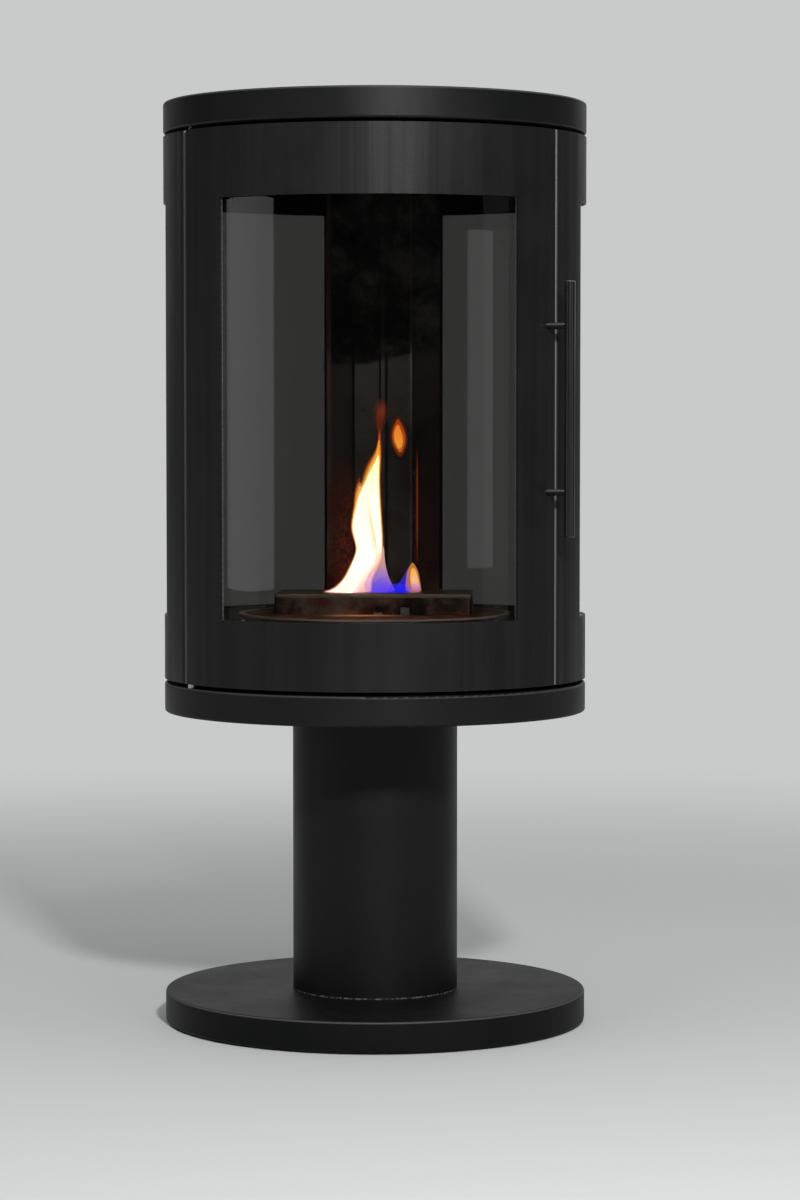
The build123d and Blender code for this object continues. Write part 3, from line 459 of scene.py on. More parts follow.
# Black-oxide steel: very dark, slightly brown, with an oily half gloss.
black_oxide = mottled("Black_oxide_steel", {"Metallic": 1.0, "Roughness": 0.42},
                      {"Scale": 900.0, "Detail": 2.0}, ((0.4, "#2b2a2a"), (0.8, "#4a4745")))

retainer_face = 0.2376
side_pane_bearing = 119.25
side_screw_step = 21.625
door_pane_bearing = 0.332
door_screw_step = 21.375


def inward_seat(bearing, radius, level):
    """A screw's seat on the inside of the body, and the way that its head faces."""
    return bearing_point(bearing, radius, level), -bearing_point(bearing, 1.0, 0)


def pane_seats(pane_bearing, step, levels):
    """Seats of four screws along the foot and four along the head of a pane."""
    return [inward_seat(pane_bearing + step * (i - 1.5), retainer_face, level)
            for i in range(4) for level in levels]


side_levels = (0.4705, 0.9845)
side_seats = (pane_seats(-side_pane_bearing, -side_screw_step, side_levels)
              + pane_seats(side_pane_bearing, side_screw_step, side_levels))
door_seats = pane_seats(door_pane_bearing, door_screw_step, (0.473, 0.982))
for name, node, body, seats in (
        ("side_glass_screws", "side_retainer_screws", "stand", side_seats),
        ("door_glass_screws", "door_retainer_screws", "door", door_seats)):
    set_screws(name, node, body,
               socket_screw(0.0034, 0.0022, 0.002, 0.008), seats, black_oxide)


# Back wall: folded sheet on sleeves inside the rear joint, with a batten down its
# middle. Its matt paint has baked brown-grey and red-brown near the fire, and the
# upper part lies in a painted shadow, with soot blown into soft clouds in it.
liner_paint, tree, shader, coords = new_finish(
    "Heat_aged_matt_paint_with_soot_and_painted_light", {"Specular IOR Level": 0.12})
place = add(tree, "SeparateXYZ", {0: coords})
patches = add(tree, "TexNoise", {"Vector": coords, "Scale": 14.0, "Detail": 8.0,
                                 "Roughness": 0.62, "Distortion": 0.6})

# From left to right: a fold painted as lit, outer strip, batten edge, batten with a
# bead down its middle, batten edge with a painted highlight, outer strip. The paint
# darkens towards the fire.
across = add(tree, "MapRange", {"Value": place.outputs["X"], "From Min": -0.08, "From Max": 0.08})
tint = add(tree, "ValToRGB", {"Fac": across},
           stops=((0.04, "#86766c"), (0.085, "#86766c"), (0.1, "#5c5350"), (0.25, "#5c5350"),
                  (0.256, "#0a0808"), (0.27, "#0a0808"), (0.278, "#86817c"), (0.465, "#86817c"),
                  (0.47, "#0b0a0a"), (0.48, "#0b0a0a"), (0.486, "#a39e99"), (0.514, "#7c7772"),
                  (0.52, "#0b0a0a"), (0.53, "#0b0a0a"), (0.536, "#807b76"), (0.706, "#75706b"),
                  (0.713, "#a8a39d"), (0.724, "#a8a39d"), (0.731, "#0c0a0a"), (0.744, "#47403d"),
                  (0.95, "#474240")))
mottle = add(tree, "MapRange",
             {"Value": patches, "From Min": 0.35, "From Max": 0.65, "To Max": 0.3})
darker = add(tree, "MapRange",
             {"Value": place.outputs["Z"], "From Min": 0.785, "From Max": 0.7, "To Max": 0.6})
mottle = add(tree, "Math", {0: mottle, 1: darker}, operation="ADD", use_clamp=True)
tint = add(tree, "Mix", {0: mottle, 6: tint, 7: linear("#1c1917")}, data_type="RGBA")

# Rust and heat glow low down, beside the flame, strongest at the left.
low_down = add(tree, "MapRange",
               {"Value": place.outputs["Z"], "From Min": 0.67, "From Max": 0.52})
beside = add(tree, "ValToRGB", {"Fac": across},
             stops=((0.05, "#666666"), (0.1, "#bcbcbc"), (0.2, "#ffffff"), (0.255, "#ffffff"),
                    (0.27, "#2e2e2e"), (0.72, "#343434"), (0.75, "#646464"), (0.95, "#565656")))
rust = add(tree, "TexNoise", {"Vector": coords, "Scale": 230.0, "Detail": 8.0, "Roughness": 0.78})
rust = add(tree, "MapRange", {"Value": rust, "From Min": 0.38, "From Max": 0.58})
rust = add(tree, "Math", {0: rust, 1: low_down}, operation="MULTIPLY")
rust = add(tree, "Math", {0: rust, 1: beside}, operation="MULTIPLY")
tint = add(tree, "Mix", {0: rust, 6: tint.outputs[2], 7: linear("#c8583c")}, data_type="RGBA")

# A painted shadow falls above a line that rises to the right, with clouds of soot in
# it. It is thin on the fold painted as lit and on the batten's edge, palest at the
# upper right, and darkest in one patch by the bead.
rise = add(tree, "MapRange", {"Value": place.outputs["X"], "From Min": -0.02, "From Max": 0.07,
                              "To Min": 0.784, "To Max": 0.806})
painted_shadow = add(tree, "Math", {0: place.outputs["Z"], 1: rise}, operation="SUBTRACT")
painted_shadow = add(tree, "MapRange",
            {"Value": painted_shadow, "From Min": -0.001, "From Max": 0.003, "To Max": 0.95})
cover = add(tree, "ValToRGB", {"Fac": across},
            stops=((0.085, "#303030"), (0.1, "#ffffff"), (0.482, "#ffffff"), (0.488, "#e8e8e8"),
                   (0.512, "#e8e8e8"), (0.518, "#ffffff"), (0.708, "#ffffff"), (0.714, "#c4c4c4"),
                   (0.723, "#c4c4c4"), (0.729, "#ffffff")))
painted_shadow = add(tree, "Math", {0: painted_shadow, 1: cover}, operation="MULTIPLY")
clouds = add(tree, "TexNoise", {"Vector": coords, "Scale": 26.0, "Detail": 10.0,
                                "Roughness": 0.72, "Distortion": 0.3})
upper = add(tree, "MapRange", {"Value": place.outputs["Z"], "From Min": 0.8, "From Max": 0.91,
                               "To Min": -0.07, "To Max": 0.05})
right = add(tree, "MapRange", {"Value": place.outputs["X"], "From Min": -0.055, "From Max": 0.015,
                               "To Min": -0.03, "To Max": 0.05})
smear = add(tree, "Mapping",
            {"Vector": coords, "Location": (-0.25, 0, -30.0), "Scale": (28.0, 0, 36.0)})
smear = add(tree, "TexGradient", {"Vector": smear}, gradient_type="SPHERICAL")
pale = add(tree, "Math", {0: clouds, 1: upper}, operation="ADD")
pale = add(tree, "Math", {0: pale, 1: right}, operation="ADD")
pale = add(tree, "Math", {0: smear.outputs["Fac"], 1: -0.16, 2: pale}, operation="MULTIPLY_ADD")
soot_in_shadow = add(tree, "ValToRGB", {"Fac": pale},
           stops=((0.36, "#191a1b"), (0.46, "#343637"), (0.56, "#5c5f61"), (0.68, "#87898b")))
tint = add(tree, "Mix", {0: painted_shadow, 6: tint.outputs[2], 7: soot_in_shadow}, data_type="RGBA")

# A narrow fold at the right glows with a painted reflection of the flame.
fold = add(tree, "ValToRGB", {"Fac": across},
           stops=((0.76, "#000000"), (0.764, "#ffffff"), (0.77, "#ffffff"), (0.774, "#000000")))
span = add(tree, "MapRange", {"Value": place.outputs["Z"], "From Min": 0.5, "From Max": 0.7})
span = add(tree, "ValToRGB", {"Fac": span},
           stops=((0.15, "#000000"), (0.4, "#ffffff"), (0.7, "#ffffff"), (0.9, "#000000")))
fold = add(tree, "Math", {0: fold, 1: span}, operation="MULTIPLY")
lit = add(tree, "Math", {0: fold, 1: 0.6}, operation="MULTIPLY")
rough = add(tree, "MapRange", {"Value": patches, "To Min": 0.6, "To Max": 0.85})
feed(shader, {"Base Color": tint.outputs[2], "Roughness": rough,
              "Emission Color": linear("#ff6a2a"), "Emission Strength": lit})
dress(liner_paint, "rear_liner", "liner_batten")
dress(raw_steel, "liner_sleeves")

# The screws are painted over with the wall.
wall_front = 0.2313
liner_seats = [(Vector((x, wall_front, level)), (0, -1, 0))
               for x in (-0.024, 0.024) for level in (0.453, 0.72875, 1.0045)]
set_screws("back_wall_screws", "liner_screws", "stand",
           socket_screw(0.0034, 0.0022, 0.002, 0.012), liner_seats, liner_paint)


# Upper disc: a pressed steel cap like the base, painted satin black. It is closed
# below by a sheet and bolted to the body on posts.
dress(pressed_paint, "top_cap")
dress(inner_paint, "top_liner")
dress(raw_steel, "top_posts")


# Door: rolled sheet with folded edges and two ribs inside, hung on two turned pins. A
# bright washer lies in the lower joint, and two ferrite magnets hold the door shut.
rolled_paint = stove_paint("Satin_black_stove_paint_on_rolled_steel", 0.6)
dress(rolled_paint, "door_skin")
dress(inner_paint, "door_ribs")

# Turned free-cutting steel: bright, with fine rings round the hinge axis.
hinge_x = -0.205451
hinge_y = -0.130699
turned_steel, tree, shader, coords = new_finish(
    "Bright_turned_steel", {"Base Color": linear("#c9c6bf"), "Metallic": 1.0})
centred = add(tree, "Mapping", {"Vector": coords, "Location": (-hinge_x, -hinge_y, 0)})
rings = add(tree, "TexWave", {"Vector": centred, "Scale": 500.0}, wave_type="RINGS",
            rings_direction="Z")
shine = add(tree, "MapRange", {"Value": rings.outputs["Fac"], "To Min": 0.18, "To Max": 0.34})
feed(shader, {"Roughness": shine})
dress(turned_steel, "hinge_pins", "hinge_washer")

# Sintered ferrite: dull charcoal, with a fine ground grain.
ferrite = mottled("Sintered_ferrite", {"Roughness": 0.55}, {"Scale": 700.0, "Detail": 4.0},
                  ((0.3, "#303134"), (0.7, "#45464a")))
dress(ferrite, "catch_magnets")


# Handle: round bar on two studs, painted like the body and polished a little by
# hands, with painted highlights on its upper edges, and held by two screws from
# inside the door.
handle_paint = stove_paint("Satin_black_stove_paint_worn_by_hands", 0.0, edge_highlight=0.45)
gloss_and_highlight = handle_paint.node_tree.nodes["Principled BSDF"]
for link in list(gloss_and_highlight.inputs["Roughness"].links):
    handle_paint.node_tree.links.remove(link)
feed(gloss_and_highlight,
     {"Specular IOR Level": 0.8, "Roughness": 0.24, "Coat Weight": 0.8, "Coat Roughness": 0.1})
dress(handle_paint, "handle_bar", "handle_studs")
handle_bearing = 55.0
door_inside = 0.247
handle_seats = [inward_seat(handle_bearing, door_inside, level) for level in (0.6325, 0.8225)]
set_screws("handle_fixing_screws", "handle_screws", "door",
           socket_screw(0.00425, 0.003, 0.0025, 0.018), handle_seats, zinc)


# Hearth: a matt floor sheet with a thin dusting of ash, on four posts, and a round
# disc with a reddish-brown heat-tinted coat, with a painted glow of the flame on it.
hearth_paint = mottled("Matt_paint_dusted_with_ash",
                       {"Specular IOR Level": 0.1, "Roughness": 0.75},
                       {"Scale": 60.0, "Detail": 8.0, "Roughness": 0.7},
                       ((0.4, "#313131"), (0.62, "#444341"), (0.8, "#716e68")))
dress(hearth_paint, "floor_plate")
dress(raw_steel, "floor_posts")
hearth_top = 0.4845
post_circle = 0.205
floor_seats = []
for i in range(4):
    turn = math.radians(45.0 + 90.0 * i)
    floor_seats.append((Vector((post_circle * math.cos(turn), post_circle * math.sin(turn),
                                hearth_top)), (0, 0, 1)))
set_screws("hearth_screws", "floor_screws", "stand",
           socket_screw(0.0034, 0.0016, 0.002, 0.01), floor_seats, zinc)

# Heat-tinted coating on pressed steel: red-brown and blotchy, with a pale worn rim.
# The flame's light on it is painted on as a glow, strongest in front of the burner.
disc_coat, tree, shader, coords = new_finish(
    "Heat_tinted_red_brown_coating", {"Specular IOR Level": 0.12, "Roughness": 0.65})
patches = add(tree, "TexNoise",
              {"Vector": coords, "Scale": 42.0, "Detail": 9.0, "Roughness": 0.72})
tint = add(tree, "ValToRGB", {"Fac": patches},
           stops=((0.3, "#281b17"), (0.46, "#573325"), (0.58, "#895943"), (0.72, "#b38871")))
flat = add(tree, "VectorMath", {0: coords, 1: (1, 1, 0)}, operation="MULTIPLY")
ring = add(tree, "VectorMath", {0: flat}, operation="LENGTH")
ring = add(tree, "MapRange", {"Value": ring.outputs["Value"], "From Min": 0.1545,
                              "From Max": 0.157, "To Max": 0.85})
tint = add(tree, "Mix", {0: ring, 6: tint, 7: linear("#c2a798")}, data_type="RGBA")
spread = add(tree, "Mapping",
             {"Vector": coords, "Location": (0.24, 2.5, 0), "Scale": (19.0, 36.0, 0)})
spread = add(tree, "TexGradient", {"Vector": spread}, gradient_type="SPHERICAL")
lit = add(tree, "Math", {0: spread.outputs["Fac"], 1: 1.8}, operation="MULTIPLY")
feed(shader, {"Base Color": tint.outputs[2], "Emission Color": linear("#ff9a50"),
              "Emission Strength": lit})
dress(disc_coat, "burner_disc")


# Burner: a folded stainless box, tinted brown by heat, with the fire slot in its
# top and a sliding shutter below it, over a welded fuel tank filled with wool.
tinted_steel, tree, shader, coords = new_finish("Heat_tinted_stainless_steel", {"Metallic": 1.0})
along = add(tree, "Mapping", {"Vector": coords, "Scale": (0.06, 1.0, 1.0)})
brushed = add(tree, "TexNoise", {"Vector": along, "Scale": 700.0, "Detail": 3.0})
patches = add(tree, "TexNoise",
              {"Vector": coords, "Scale": 28.0, "Detail": 6.0, "Roughness": 0.65})
body_tint = add(tree, "ValToRGB", {"Fac": patches},
                stops=((0.34, "#211917"), (0.47, "#4a3e38"), (0.56, "#796b61"), (0.68, "#978c80")))
height = add(tree, "SeparateXYZ", {0: coords}).outputs["Z"]
red_spot = add(tree, "MapRange", {"Value": patches.outputs["Color"], "From Min": 0.5,
                                  "From Max": 0.62, "To Max": 0.7})
body_tint = add(tree, "Mix", {0: red_spot, 6: body_tint, 7: linear("#7a382c")}, data_type="RGBA")
rim = add(tree, "MapRange", {"Value": height, "From Min": 0.5062, "From Max": 0.5068})
tint = add(tree, "Mix", {0: rim, 6: body_tint.outputs[2], 7: linear("#9c8d7b")}, data_type="RGBA")
near_slot = add(tree, "Mapping",
                {"Vector": coords, "Location": (0, 0.45, 0), "Scale": (11.0, 17.0, 0)})
near_slot = add(tree, "TexGradient", {"Vector": near_slot}, gradient_type="SPHERICAL")
heat = add(tree, "ValToRGB", {"Fac": near_slot.outputs["Fac"]},
           stops=((0.0, "#8c7a62"), (0.35, "#7a5a34"), (0.55, "#5c3450"), (0.8, "#33406a")))
top = add(tree, "MapRange", {"Value": height, "From Min": 0.5106, "From Max": 0.5109})
tint = add(tree, "Mix", {0: top, 6: tint.outputs[2], 7: heat}, data_type="RGBA")
shine = add(tree, "MapRange", {"Value": brushed, "To Min": 0.3, "To Max": 0.55})
bumps = add(tree, "Bump", {"Height": brushed, "Strength": 0.3, "Distance": 0.0001})
feed(shader, {"Base Color": tint.outputs[2], "Roughness": shine, "Normal": bumps})
dress(tinted_steel, "burner_casing")

# Stainless sheet, brushed and a little warm from the fire.
stainless, tree, shader, coords = new_finish("Brushed_stainless_steel", {"Metallic": 1.0})
along = add(tree, "Mapping", {"Vector": coords, "Scale": (0.05, 1.0, 1.0)})
brushed = add(tree, "TexNoise", {"Vector": along, "Scale": 900.0})
tint = add(tree, "ValToRGB", {"Fac": brushed}, stops=((0.3, "#8d8b86"), (0.7, "#b5b1a9")))
shine = add(tree, "MapRange", {"Value": brushed, "To Min": 0.25, "To Max": 0.45})
feed(shader, {"Base Color": tint, "Roughness": shine})
dress(stainless, "burner_clip", "burner_shutter", "shutter_rails", "fuel_tank")

# The wool is a cut block of white ceramic fibre, soft at its edges and scorched on
# top. It is pressed into the tank and soaks up the fuel.
wool_fibre, tree, shader, coords = new_finish(
    "White_ceramic_fibre_wool", {"Roughness": 1.0, "Sheen Weight": 0.4})
tufts = add(tree, "TexNoise", {"Vector": coords, "Scale": 220.0, "Detail": 8.0, "Roughness": 0.7,
                               "Distortion": 1.5})
tint = add(tree, "ValToRGB", {"Fac": tufts}, stops=((0.3, "#a9a59b"), (0.7, "#e2dfd7")))
scorch = add(tree, "TexNoise", {"Vector": coords, "Scale": 28.0, "Detail": 5.0})
scorch = add(tree, "MapRange",
             {"Value": scorch, "From Min": 0.45, "From Max": 0.65, "To Max": 0.6})
tint = add(tree, "Mix", {0: scorch, 6: tint, 7: linear("#5c4a38")}, data_type="RGBA")
bumps = add(tree, "Bump", {"Height": tufts, "Distance": 0.0012})
feed(shader, {"Base Color": tint.outputs[2], "Normal": bumps})
low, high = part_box("tank_wool")
bpy.ops.object.select_all(action="DESELECT")
bpy.ops.mesh.primitive_cube_add(size=1.0, location=(low + high) / 2)
wool = bpy.context.object
wool.name = "wool_block"
wool.scale = high - low
bpy.ops.object.transform_apply(location=True, rotation=True, scale=True)
bpy.ops.object.mode_set(mode="EDIT")
bpy.ops.mesh.select_all(action="SELECT")
bpy.ops.mesh.bevel(offset=0.005, segments=2)
bpy.ops.mesh.subdivide(number_cuts=14)
bpy.ops.object.mode_set(mode="OBJECT")
lumps = bpy.data.textures.new("wool_lumps", "CLOUDS")
lumps.noise_scale = 0.016
tufted = wool.modifiers.new("tufted", "DISPLACE")
tufted.texture = lumps
tufted.texture_coords = "LOCAL"
tufted.mid_level = 1.0
tufted.strength = 0.006
bpy.ops.object.modifier_apply(modifier="tufted")
bpy.ops.object.shade_smooth()
wool.data.materials.append(wool_fibre)
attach(wool, "stand")
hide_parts("tank_wool")


# Flame: burning alcohol vapour above the slot. A white-hot core stands inside three
# thin glowing skins, from yellow to dull orange, over blue and violet feet, with a
# small flame at its right and a loose drop and a wisp above.
def flame_finish(name, stops, low, high, strength, cover, thinner=None):
    """Glowing gas whose colour, and cover if told so, change with height in metres."""
    made = bpy.data.materials.new(name)
    made.use_nodes = True
    tree = made.node_tree
    tree.nodes.remove(tree.nodes["Principled BSDF"])
    coords = add(tree, "TexCoord").outputs["Object"]
    height = add(tree, "SeparateXYZ", {0: coords}).outputs["Z"]
    share = add(tree, "MapRange", {"Value": height, "From Min": low, "From Max": high})
    tint = add(tree, "ValToRGB", {"Fac": share}, stops=stops)
    light = add(tree, "Emission", {"Color": tint, "Strength": strength})
    if cover >= 1.0:
        feed(tree.nodes["Material Output"], {"Surface": light})
        return made
    clear = add(tree, "BsdfTransparent")
    if thinner is not None:
        cover = add(tree, "MapRange", {"Value": share, "To Min": cover, "To Max": thinner})
    both = add(tree, "MixShader", {0: cover, 1: clear, 2: light})
    feed(tree.nodes["Material Output"], {"Surface": both})
    return made


# The flame stands in one upright plane, a little in front of the middle.
flame_line = -0.033


def thickness(half):
    """Half of a tongue's thickness from front to back, from half of its width."""
    return min(0.55 * half + 0.0012, 0.0115)


def tongue(levels):
    """A closed tongue of flame from rings, each a height, a left and a right edge in mm."""
    rings = [(height / 1000, (left + right) / 2000, max(right - left, 0.6) / 2000)
             for height, left, right in levels]
    bpy.ops.object.select_all(action="DESELECT")
    height, centre, half = rings[0]
    deep = thickness(half)
    bpy.ops.mesh.primitive_circle_add(vertices=20, radius=1.0, fill_type="NGON",
                                      location=(0, 0, 0))
    piece = bpy.context.object
    bpy.ops.object.mode_set(mode="EDIT")
    bpy.ops.mesh.select_all(action="SELECT")
    bpy.ops.transform.resize(value=(half, deep, 1), center_override=(0, 0, 0))
    bpy.ops.transform.translate(value=(centre, flame_line, height))
    for new_height, new_centre, new_half in rings[1:]:
        bpy.ops.mesh.extrude_region_move(TRANSFORM_OT_translate={
            "value": (new_centre - centre, 0, new_height - height)})
        new_deep = thickness(new_half)
        bpy.ops.transform.resize(value=(new_half / half, new_deep / deep, 1),
                                 center_override=(new_centre, flame_line, new_height))
        height, centre, half, deep = new_height, new_centre, new_half, new_deep
    bpy.ops.mesh.select_all(action="SELECT")
    bpy.ops.mesh.normals_make_consistent(inside=False)
    bpy.ops.object.mode_set(mode="OBJECT")
    smooth = piece.modifiers.new("smooth", "SUBSURF")
    smooth.levels = 2
    smooth.render_levels = 2
    bpy.ops.object.modifier_apply(modifier="smooth")
    return piece


def flame_piece(name, tongues, finish):
    """Joins tongues into one closed skin."""
    piece = tongue(tongues[0])
    for levels in tongues[1:]:
        other = tongue(levels)
        merge = piece.modifiers.new("merge", "BOOLEAN")
        merge.object = other
        merge.operation = "UNION"
        merge.solver = "EXACT"
        bpy.ops.object.select_all(action="DESELECT")
        bpy.context.view_layer.objects.active = piece
        bpy.ops.object.modifier_apply(modifier="merge")
        bpy.data.objects.remove(other)
    bpy.ops.object.select_all(action="DESELECT")
    piece.select_set(True)
    bpy.context.view_layer.objects.active = piece
    bpy.ops.object.shade_smooth()
    piece.name = name
    piece.data.materials.clear()
    piece.data.materials.append(finish)
    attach(piece, "stand")


def skin(outer, core, share):
    """Levels part of the way from the outer edge, 0, to the core's edge, 1."""
    levels = []
    for (height, left, right), (_, core_left, core_right) in zip(outer, core):
        levels.append((height, left + share * (core_left - left),
                       right + share * (core_right - right)))
    return levels


# Each level is a height, a left and a right edge in mm.
main_outer = [(511.4, -69, 1), (514, -57, 0.5), (518, -47.5, 0), (524, -41.2, 0),
              (530, -36.2, 1.5), (538, -32, 5), (546, -28, 9), (553, -24.8, 11.8),
              (563, -21.4, 12), (572, -23.8, 12.2), (583, -27.4, 11.8), (591, -28.4, 11.2),
              (602, -26.8, 10.6), (614, -25, 9.8), (629, -22.8, 9), (641, -15.4, 8.4),
              (650, -13.6, 8.4), (657, -11.8, 8.8), (666, -8, 9.3), (673, -2.4, 9.8),
              (680, 1.6, 9.8), (689, 4.0, 9.2), (697, 5.2, 8.4), (706, 5.6, 7.8),
              (716, 6.2, 7.2)]
main_core = [(511.4, -61, -4), (514, -51, -4), (518, -43.6, -4.5), (524, -38, -4.5),
             (530, -33.4, -2.5), (538, -29.3, 1.5), (546, -25.5, 6), (553, -22.5, 8.8),
             (563, -19.2, 9.4), (572, -21.6, 9.6), (583, -24.8, 9.2), (591, -25.6, 8.6),
             (602, -23.6, 8), (614, -21, 7.2), (629, -16.7, 6.4), (641, -10.2, 6),
             (650, -6.5, 6), (657, -3.4, 6.2), (664, 0.6, 6.6), (670, 3.6, 6.2),
             (674, 4.8, 5.6)]
lobe_outer = [(612, -25, -10), (622, -24.4, -10), (632, -23.2, -11), (639, -21.4, -12.6),
              (644, -19.6, -15.4), (648, -18.6, -17.6)]
lobe_inner = [(612, -23.5, -10), (622, -23, -10), (631, -21.6, -11.4), (637, -20, -13),
              (642, -18.4, -15.6)]
lobe_heart = [(611, -22.5, -10), (620, -21.8, -10), (628, -20.2, -11), (634, -18.4, -12.8),
              (638, -17.2, -15)]
middle_tip = [(689, 4.8, 8.3), (697, 5.7, 7.7), (704, 6.3, 7.3)]
inner_tip = [(686, 5.0, 7.5), (692, 5.9, 7.0)]
small_outer = [(511.4, 37, 57), (517.5, 37.2, 56), (524, 37.6, 55), (530, 38.2, 54),
               (536, 39, 52.6), (540, 40.6, 51), (544, 43, 48.6), (547, 45, 46.6)]
small_inner = [(514, 45, 55), (520, 44, 54.2), (526, 43.4, 53), (532, 43, 51.6),
               (537, 43.4, 50), (541, 44.8, 48)]
drop_outer = [(676.6, 30.4, 31.6), (680, 27.4, 34.4), (686, 23.6, 36.8), (694, 21.4, 37.8),
              (701, 21.6, 36.8), (708, 23.6, 34.2), (713, 25.8, 31.4), (716.4, 27.8, 29)]
drop_halo = [(672, 29.5, 33), (678, 25, 36.5), (686, 20.8, 39.4), (694, 18.8, 40.2),
             (702, 19.2, 39), (710, 21.4, 36), (716, 24.4, 32.6), (720, 27, 29.6)]
drop_inner = [(681, 29.6, 31.6), (686, 26, 34), (693, 23.6, 34.6), (700, 23.6, 33.2),
              (706, 25.6, 31), (710, 27.4, 29.4)]
red_wisp = [(699, 5.2, 7.8), (707, 4.6, 8.4), (714, 3.6, 10.2), (721, 3.4, 13.2),
            (727, 4.2, 14), (732, 6.2, 12.6), (735, 8, 10.4)]
red_halo = [(700, 4.6, 9.2), (708, 2.8, 11.4), (715, 0.2, 15), (722, -1.2, 17.8),
            (729, -0.6, 17.6), (735, 2, 14.6), (740.5, 5.6, 10.8)]
violet_foot = [(511.4, -13, 27), (516, -15, 24.8), (522, -16, 21.6), (528, -14.5, 18.6),
               (535, -10, 16.2), (543, -2, 14.2), (552, 5, 12.8), (560, 9, 12.4),
               (566, 10.6, 12)]
blue_heart = [(511.4, -4, 24), (516, -4.5, 21.5), (521, -2, 18.5), (526, 3, 15), (530, 7, 11.4)]
blue_base = [(511.4, 6, 46), (514, 9, 44.5), (517.5, 13, 42), (520.5, 18, 38), (522.5, 22, 33)]
blue_foot = [(511.4, 20, 43), (515, 23, 42), (519, 27, 41), (524, 30.4, 40.6), (530, 34.4, 41),
             (536, 37.6, 42), (542, 40.4, 43.4)]

slot_level = 0.511
core_strength = 12.0
flame_core = flame_finish("Flame_core_white_hot_soot",
                          ((0.0, "#ffe6dc"), (0.08, "#fff4ea"), (0.25, "#fffcf8"),
                           (0.7, "#fff9ec"), (1.0, "#ffeab0")),
                          slot_level, 0.674, core_strength, 1.0)
flame_inner = flame_finish("Flame_yellow_glowing_soot",
                           ((0.0, "#ffb890"), (0.15, "#ffe0a0"), (0.8, "#ffd060"),
                            (1.0, "#ff9a2e")), slot_level, 0.7, 7.3, 0.34)
flame_middle = flame_finish("Flame_orange_soot",
                            ((0.0, "#e89080"), (0.15, "#ffa24a"), (0.75, "#ff9226"),
                             (1.0, "#d8501a")), slot_level, 0.71, 4.2, 0.3)
flame_fringe = flame_finish("Flame_dull_orange_thin_soot",
                            ((0.0, "#a05070"), (0.15, "#c85a20"), (0.8, "#c84e16"),
                             (1.0, "#7a2a18")), slot_level, 0.716, 2.0, 0.2)
flame_violet = flame_finish("Flame_violet_alcohol_vapour",
                            ((0.0, "#8a5cff"), (0.2, "#a078ff"), (0.42, "#d49cf0"),
                             (0.65, "#ffc0b8"), (1.0, "#ffe0c0")), slot_level, 0.566, 4.4, 0.36)
flame_blue = flame_finish("Flame_blue_alcohol_vapour",
                          ((0.0, "#1c1cff"), (0.4, "#3a30f0"), (1.0, "#7a4ad0")),
                          slot_level, 0.542, 4.2, 0.5, 0.06)
flame_small = flame_finish("Flame_small_tongue_of_soot",
                           ((0.0, "#4a38ff"), (0.22, "#c080d0"), (0.42, "#ffd0a0"),
                            (0.7, "#ffc860"), (1.0, "#ff7c20")), slot_level, 0.545, 5.4, 0.5)
flame_red = flame_finish("Flame_dull_red_smoke",
                         ((0.0, "#8a3016"), (0.3, "#8a2c1a"), (0.7, "#d25a30"),
                          (1.0, "#8a3420")), 0.697, 0.737, 2.4, 0.22, 0.2)

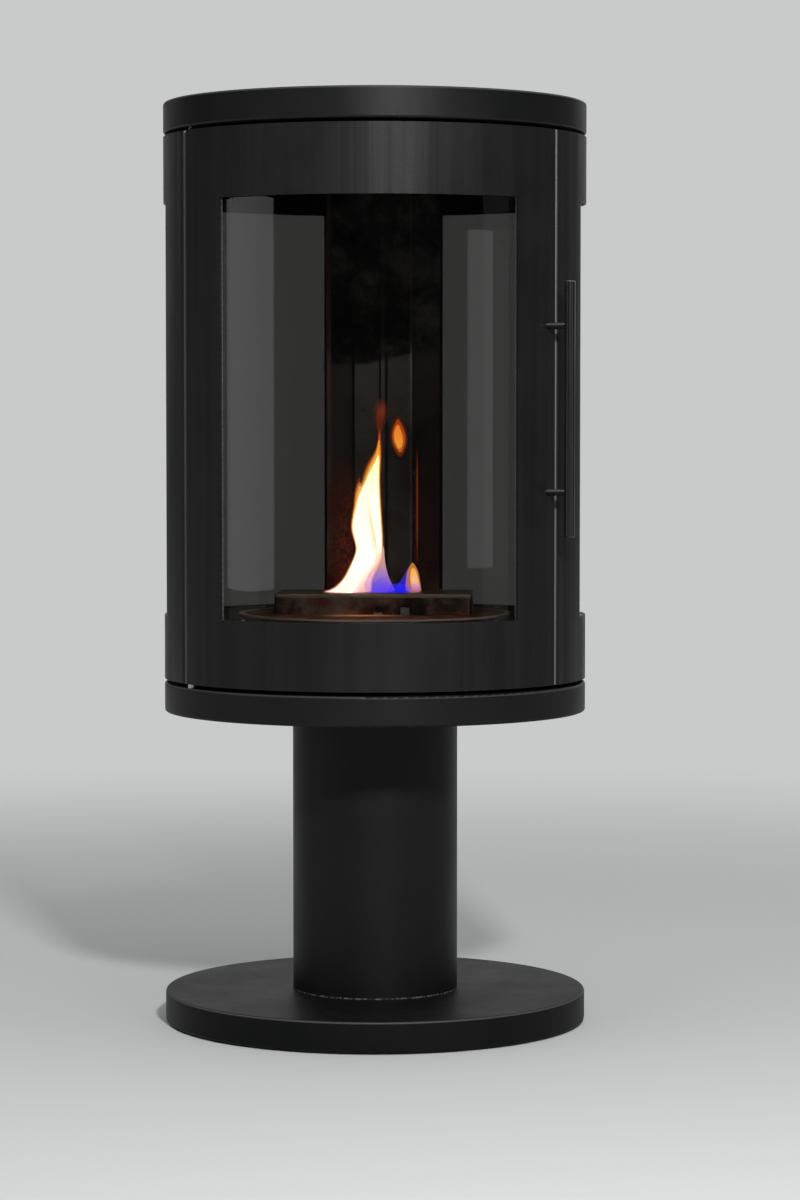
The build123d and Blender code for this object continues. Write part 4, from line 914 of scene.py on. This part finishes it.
# A peach streak runs down through the core, where two tongues meet, and the core's
# right foot fades to a pinkish violet.
tree = flame_core.node_tree
coords = add(tree, "TexCoord").outputs["Object"]
streak = add(tree, "VectorMath", {0: coords, 1: (1.0, 0.0, 0.19)}, operation="DOT_PRODUCT")
streak = add(tree, "MapRange",
             {"Value": streak.outputs["Value"], "From Min": 0.1049, "From Max": 0.1169})
height = add(tree, "SeparateXYZ", {0: coords}).outputs["Z"]
reach = add(tree, "MapRange", {"Value": height, "From Min": 0.535, "From Max": 0.64})
reach = add(tree, "ValToRGB", {"Fac": reach},
            stops=((0.05, "#000000"), (0.35, "#ffffff"), (0.6, "#ffffff"), (0.95, "#000000")))
streak = add(tree, "ValToRGB", {"Fac": streak},
             stops=((0.05, "#000000"), (0.5, "#ffffff"), (0.75, "#000000")))
streak = add(tree, "Math", {0: streak, 1: reach}, operation="MULTIPLY")
foot = add(tree, "VectorMath", {0: coords, 1: (0.855, 0.0, -0.519)}, operation="DOT_PRODUCT")
foot = add(tree, "MapRange",
           {"Value": foot.outputs["Value"], "From Min": -0.2875, "From Max": -0.278})
light = tree.nodes["Emission"]
core_tint = add(tree, "Mix", {0: streak, 7: linear("#ffeee4")}, data_type="RGBA")
feed(core_tint, {6: light.inputs["Color"].links[0].from_socket})
core_tint = add(tree, "Mix", {0: foot, 6: core_tint.outputs[2], 7: linear("#f0b4dc")},
                data_type="RGBA")
feed(light, {"Color": core_tint.outputs[2]})
weaker = add(tree, "MapRange", {"Value": streak, "To Min": core_strength, "To Max": 5.8})
weaker = add(tree, "Mix", {0: foot, 2: weaker, 3: 5.2}, data_type="FLOAT")
feed(light, {"Strength": weaker})

for name, tongues, finish in (
        ("flame_main_core", [main_core], flame_core),
        ("flame_main_inner", [skin(main_outer, main_core, 0.62) + inner_tip, lobe_heart],
         flame_inner),
        ("flame_main_middle", [skin(main_outer, main_core, 0.3) + middle_tip, lobe_inner],
         flame_middle),
        ("flame_main_fringe", [main_outer, lobe_outer], flame_fringe),
        ("flame_small_inner", [small_inner], flame_small),
        ("flame_small_outer", [small_outer], flame_middle),
        ("flame_drop_inner", [drop_inner], flame_inner),
        ("flame_drop_outer", [drop_outer], flame_middle),
        ("flame_drop_halo", [drop_halo], flame_fringe),
        ("flame_red_wisp", [red_wisp], flame_red),
        ("flame_red_halo", [red_halo], flame_fringe),
        ("flame_violet_foot", [violet_foot], flame_violet),
        ("flame_blue_heart", [blue_heart], flame_blue),
        ("flame_blue_base", [blue_base], flame_blue),
        ("flame_blue_foot", [blue_foot], flame_blue)):
    flame_piece(name, tongues, finish)
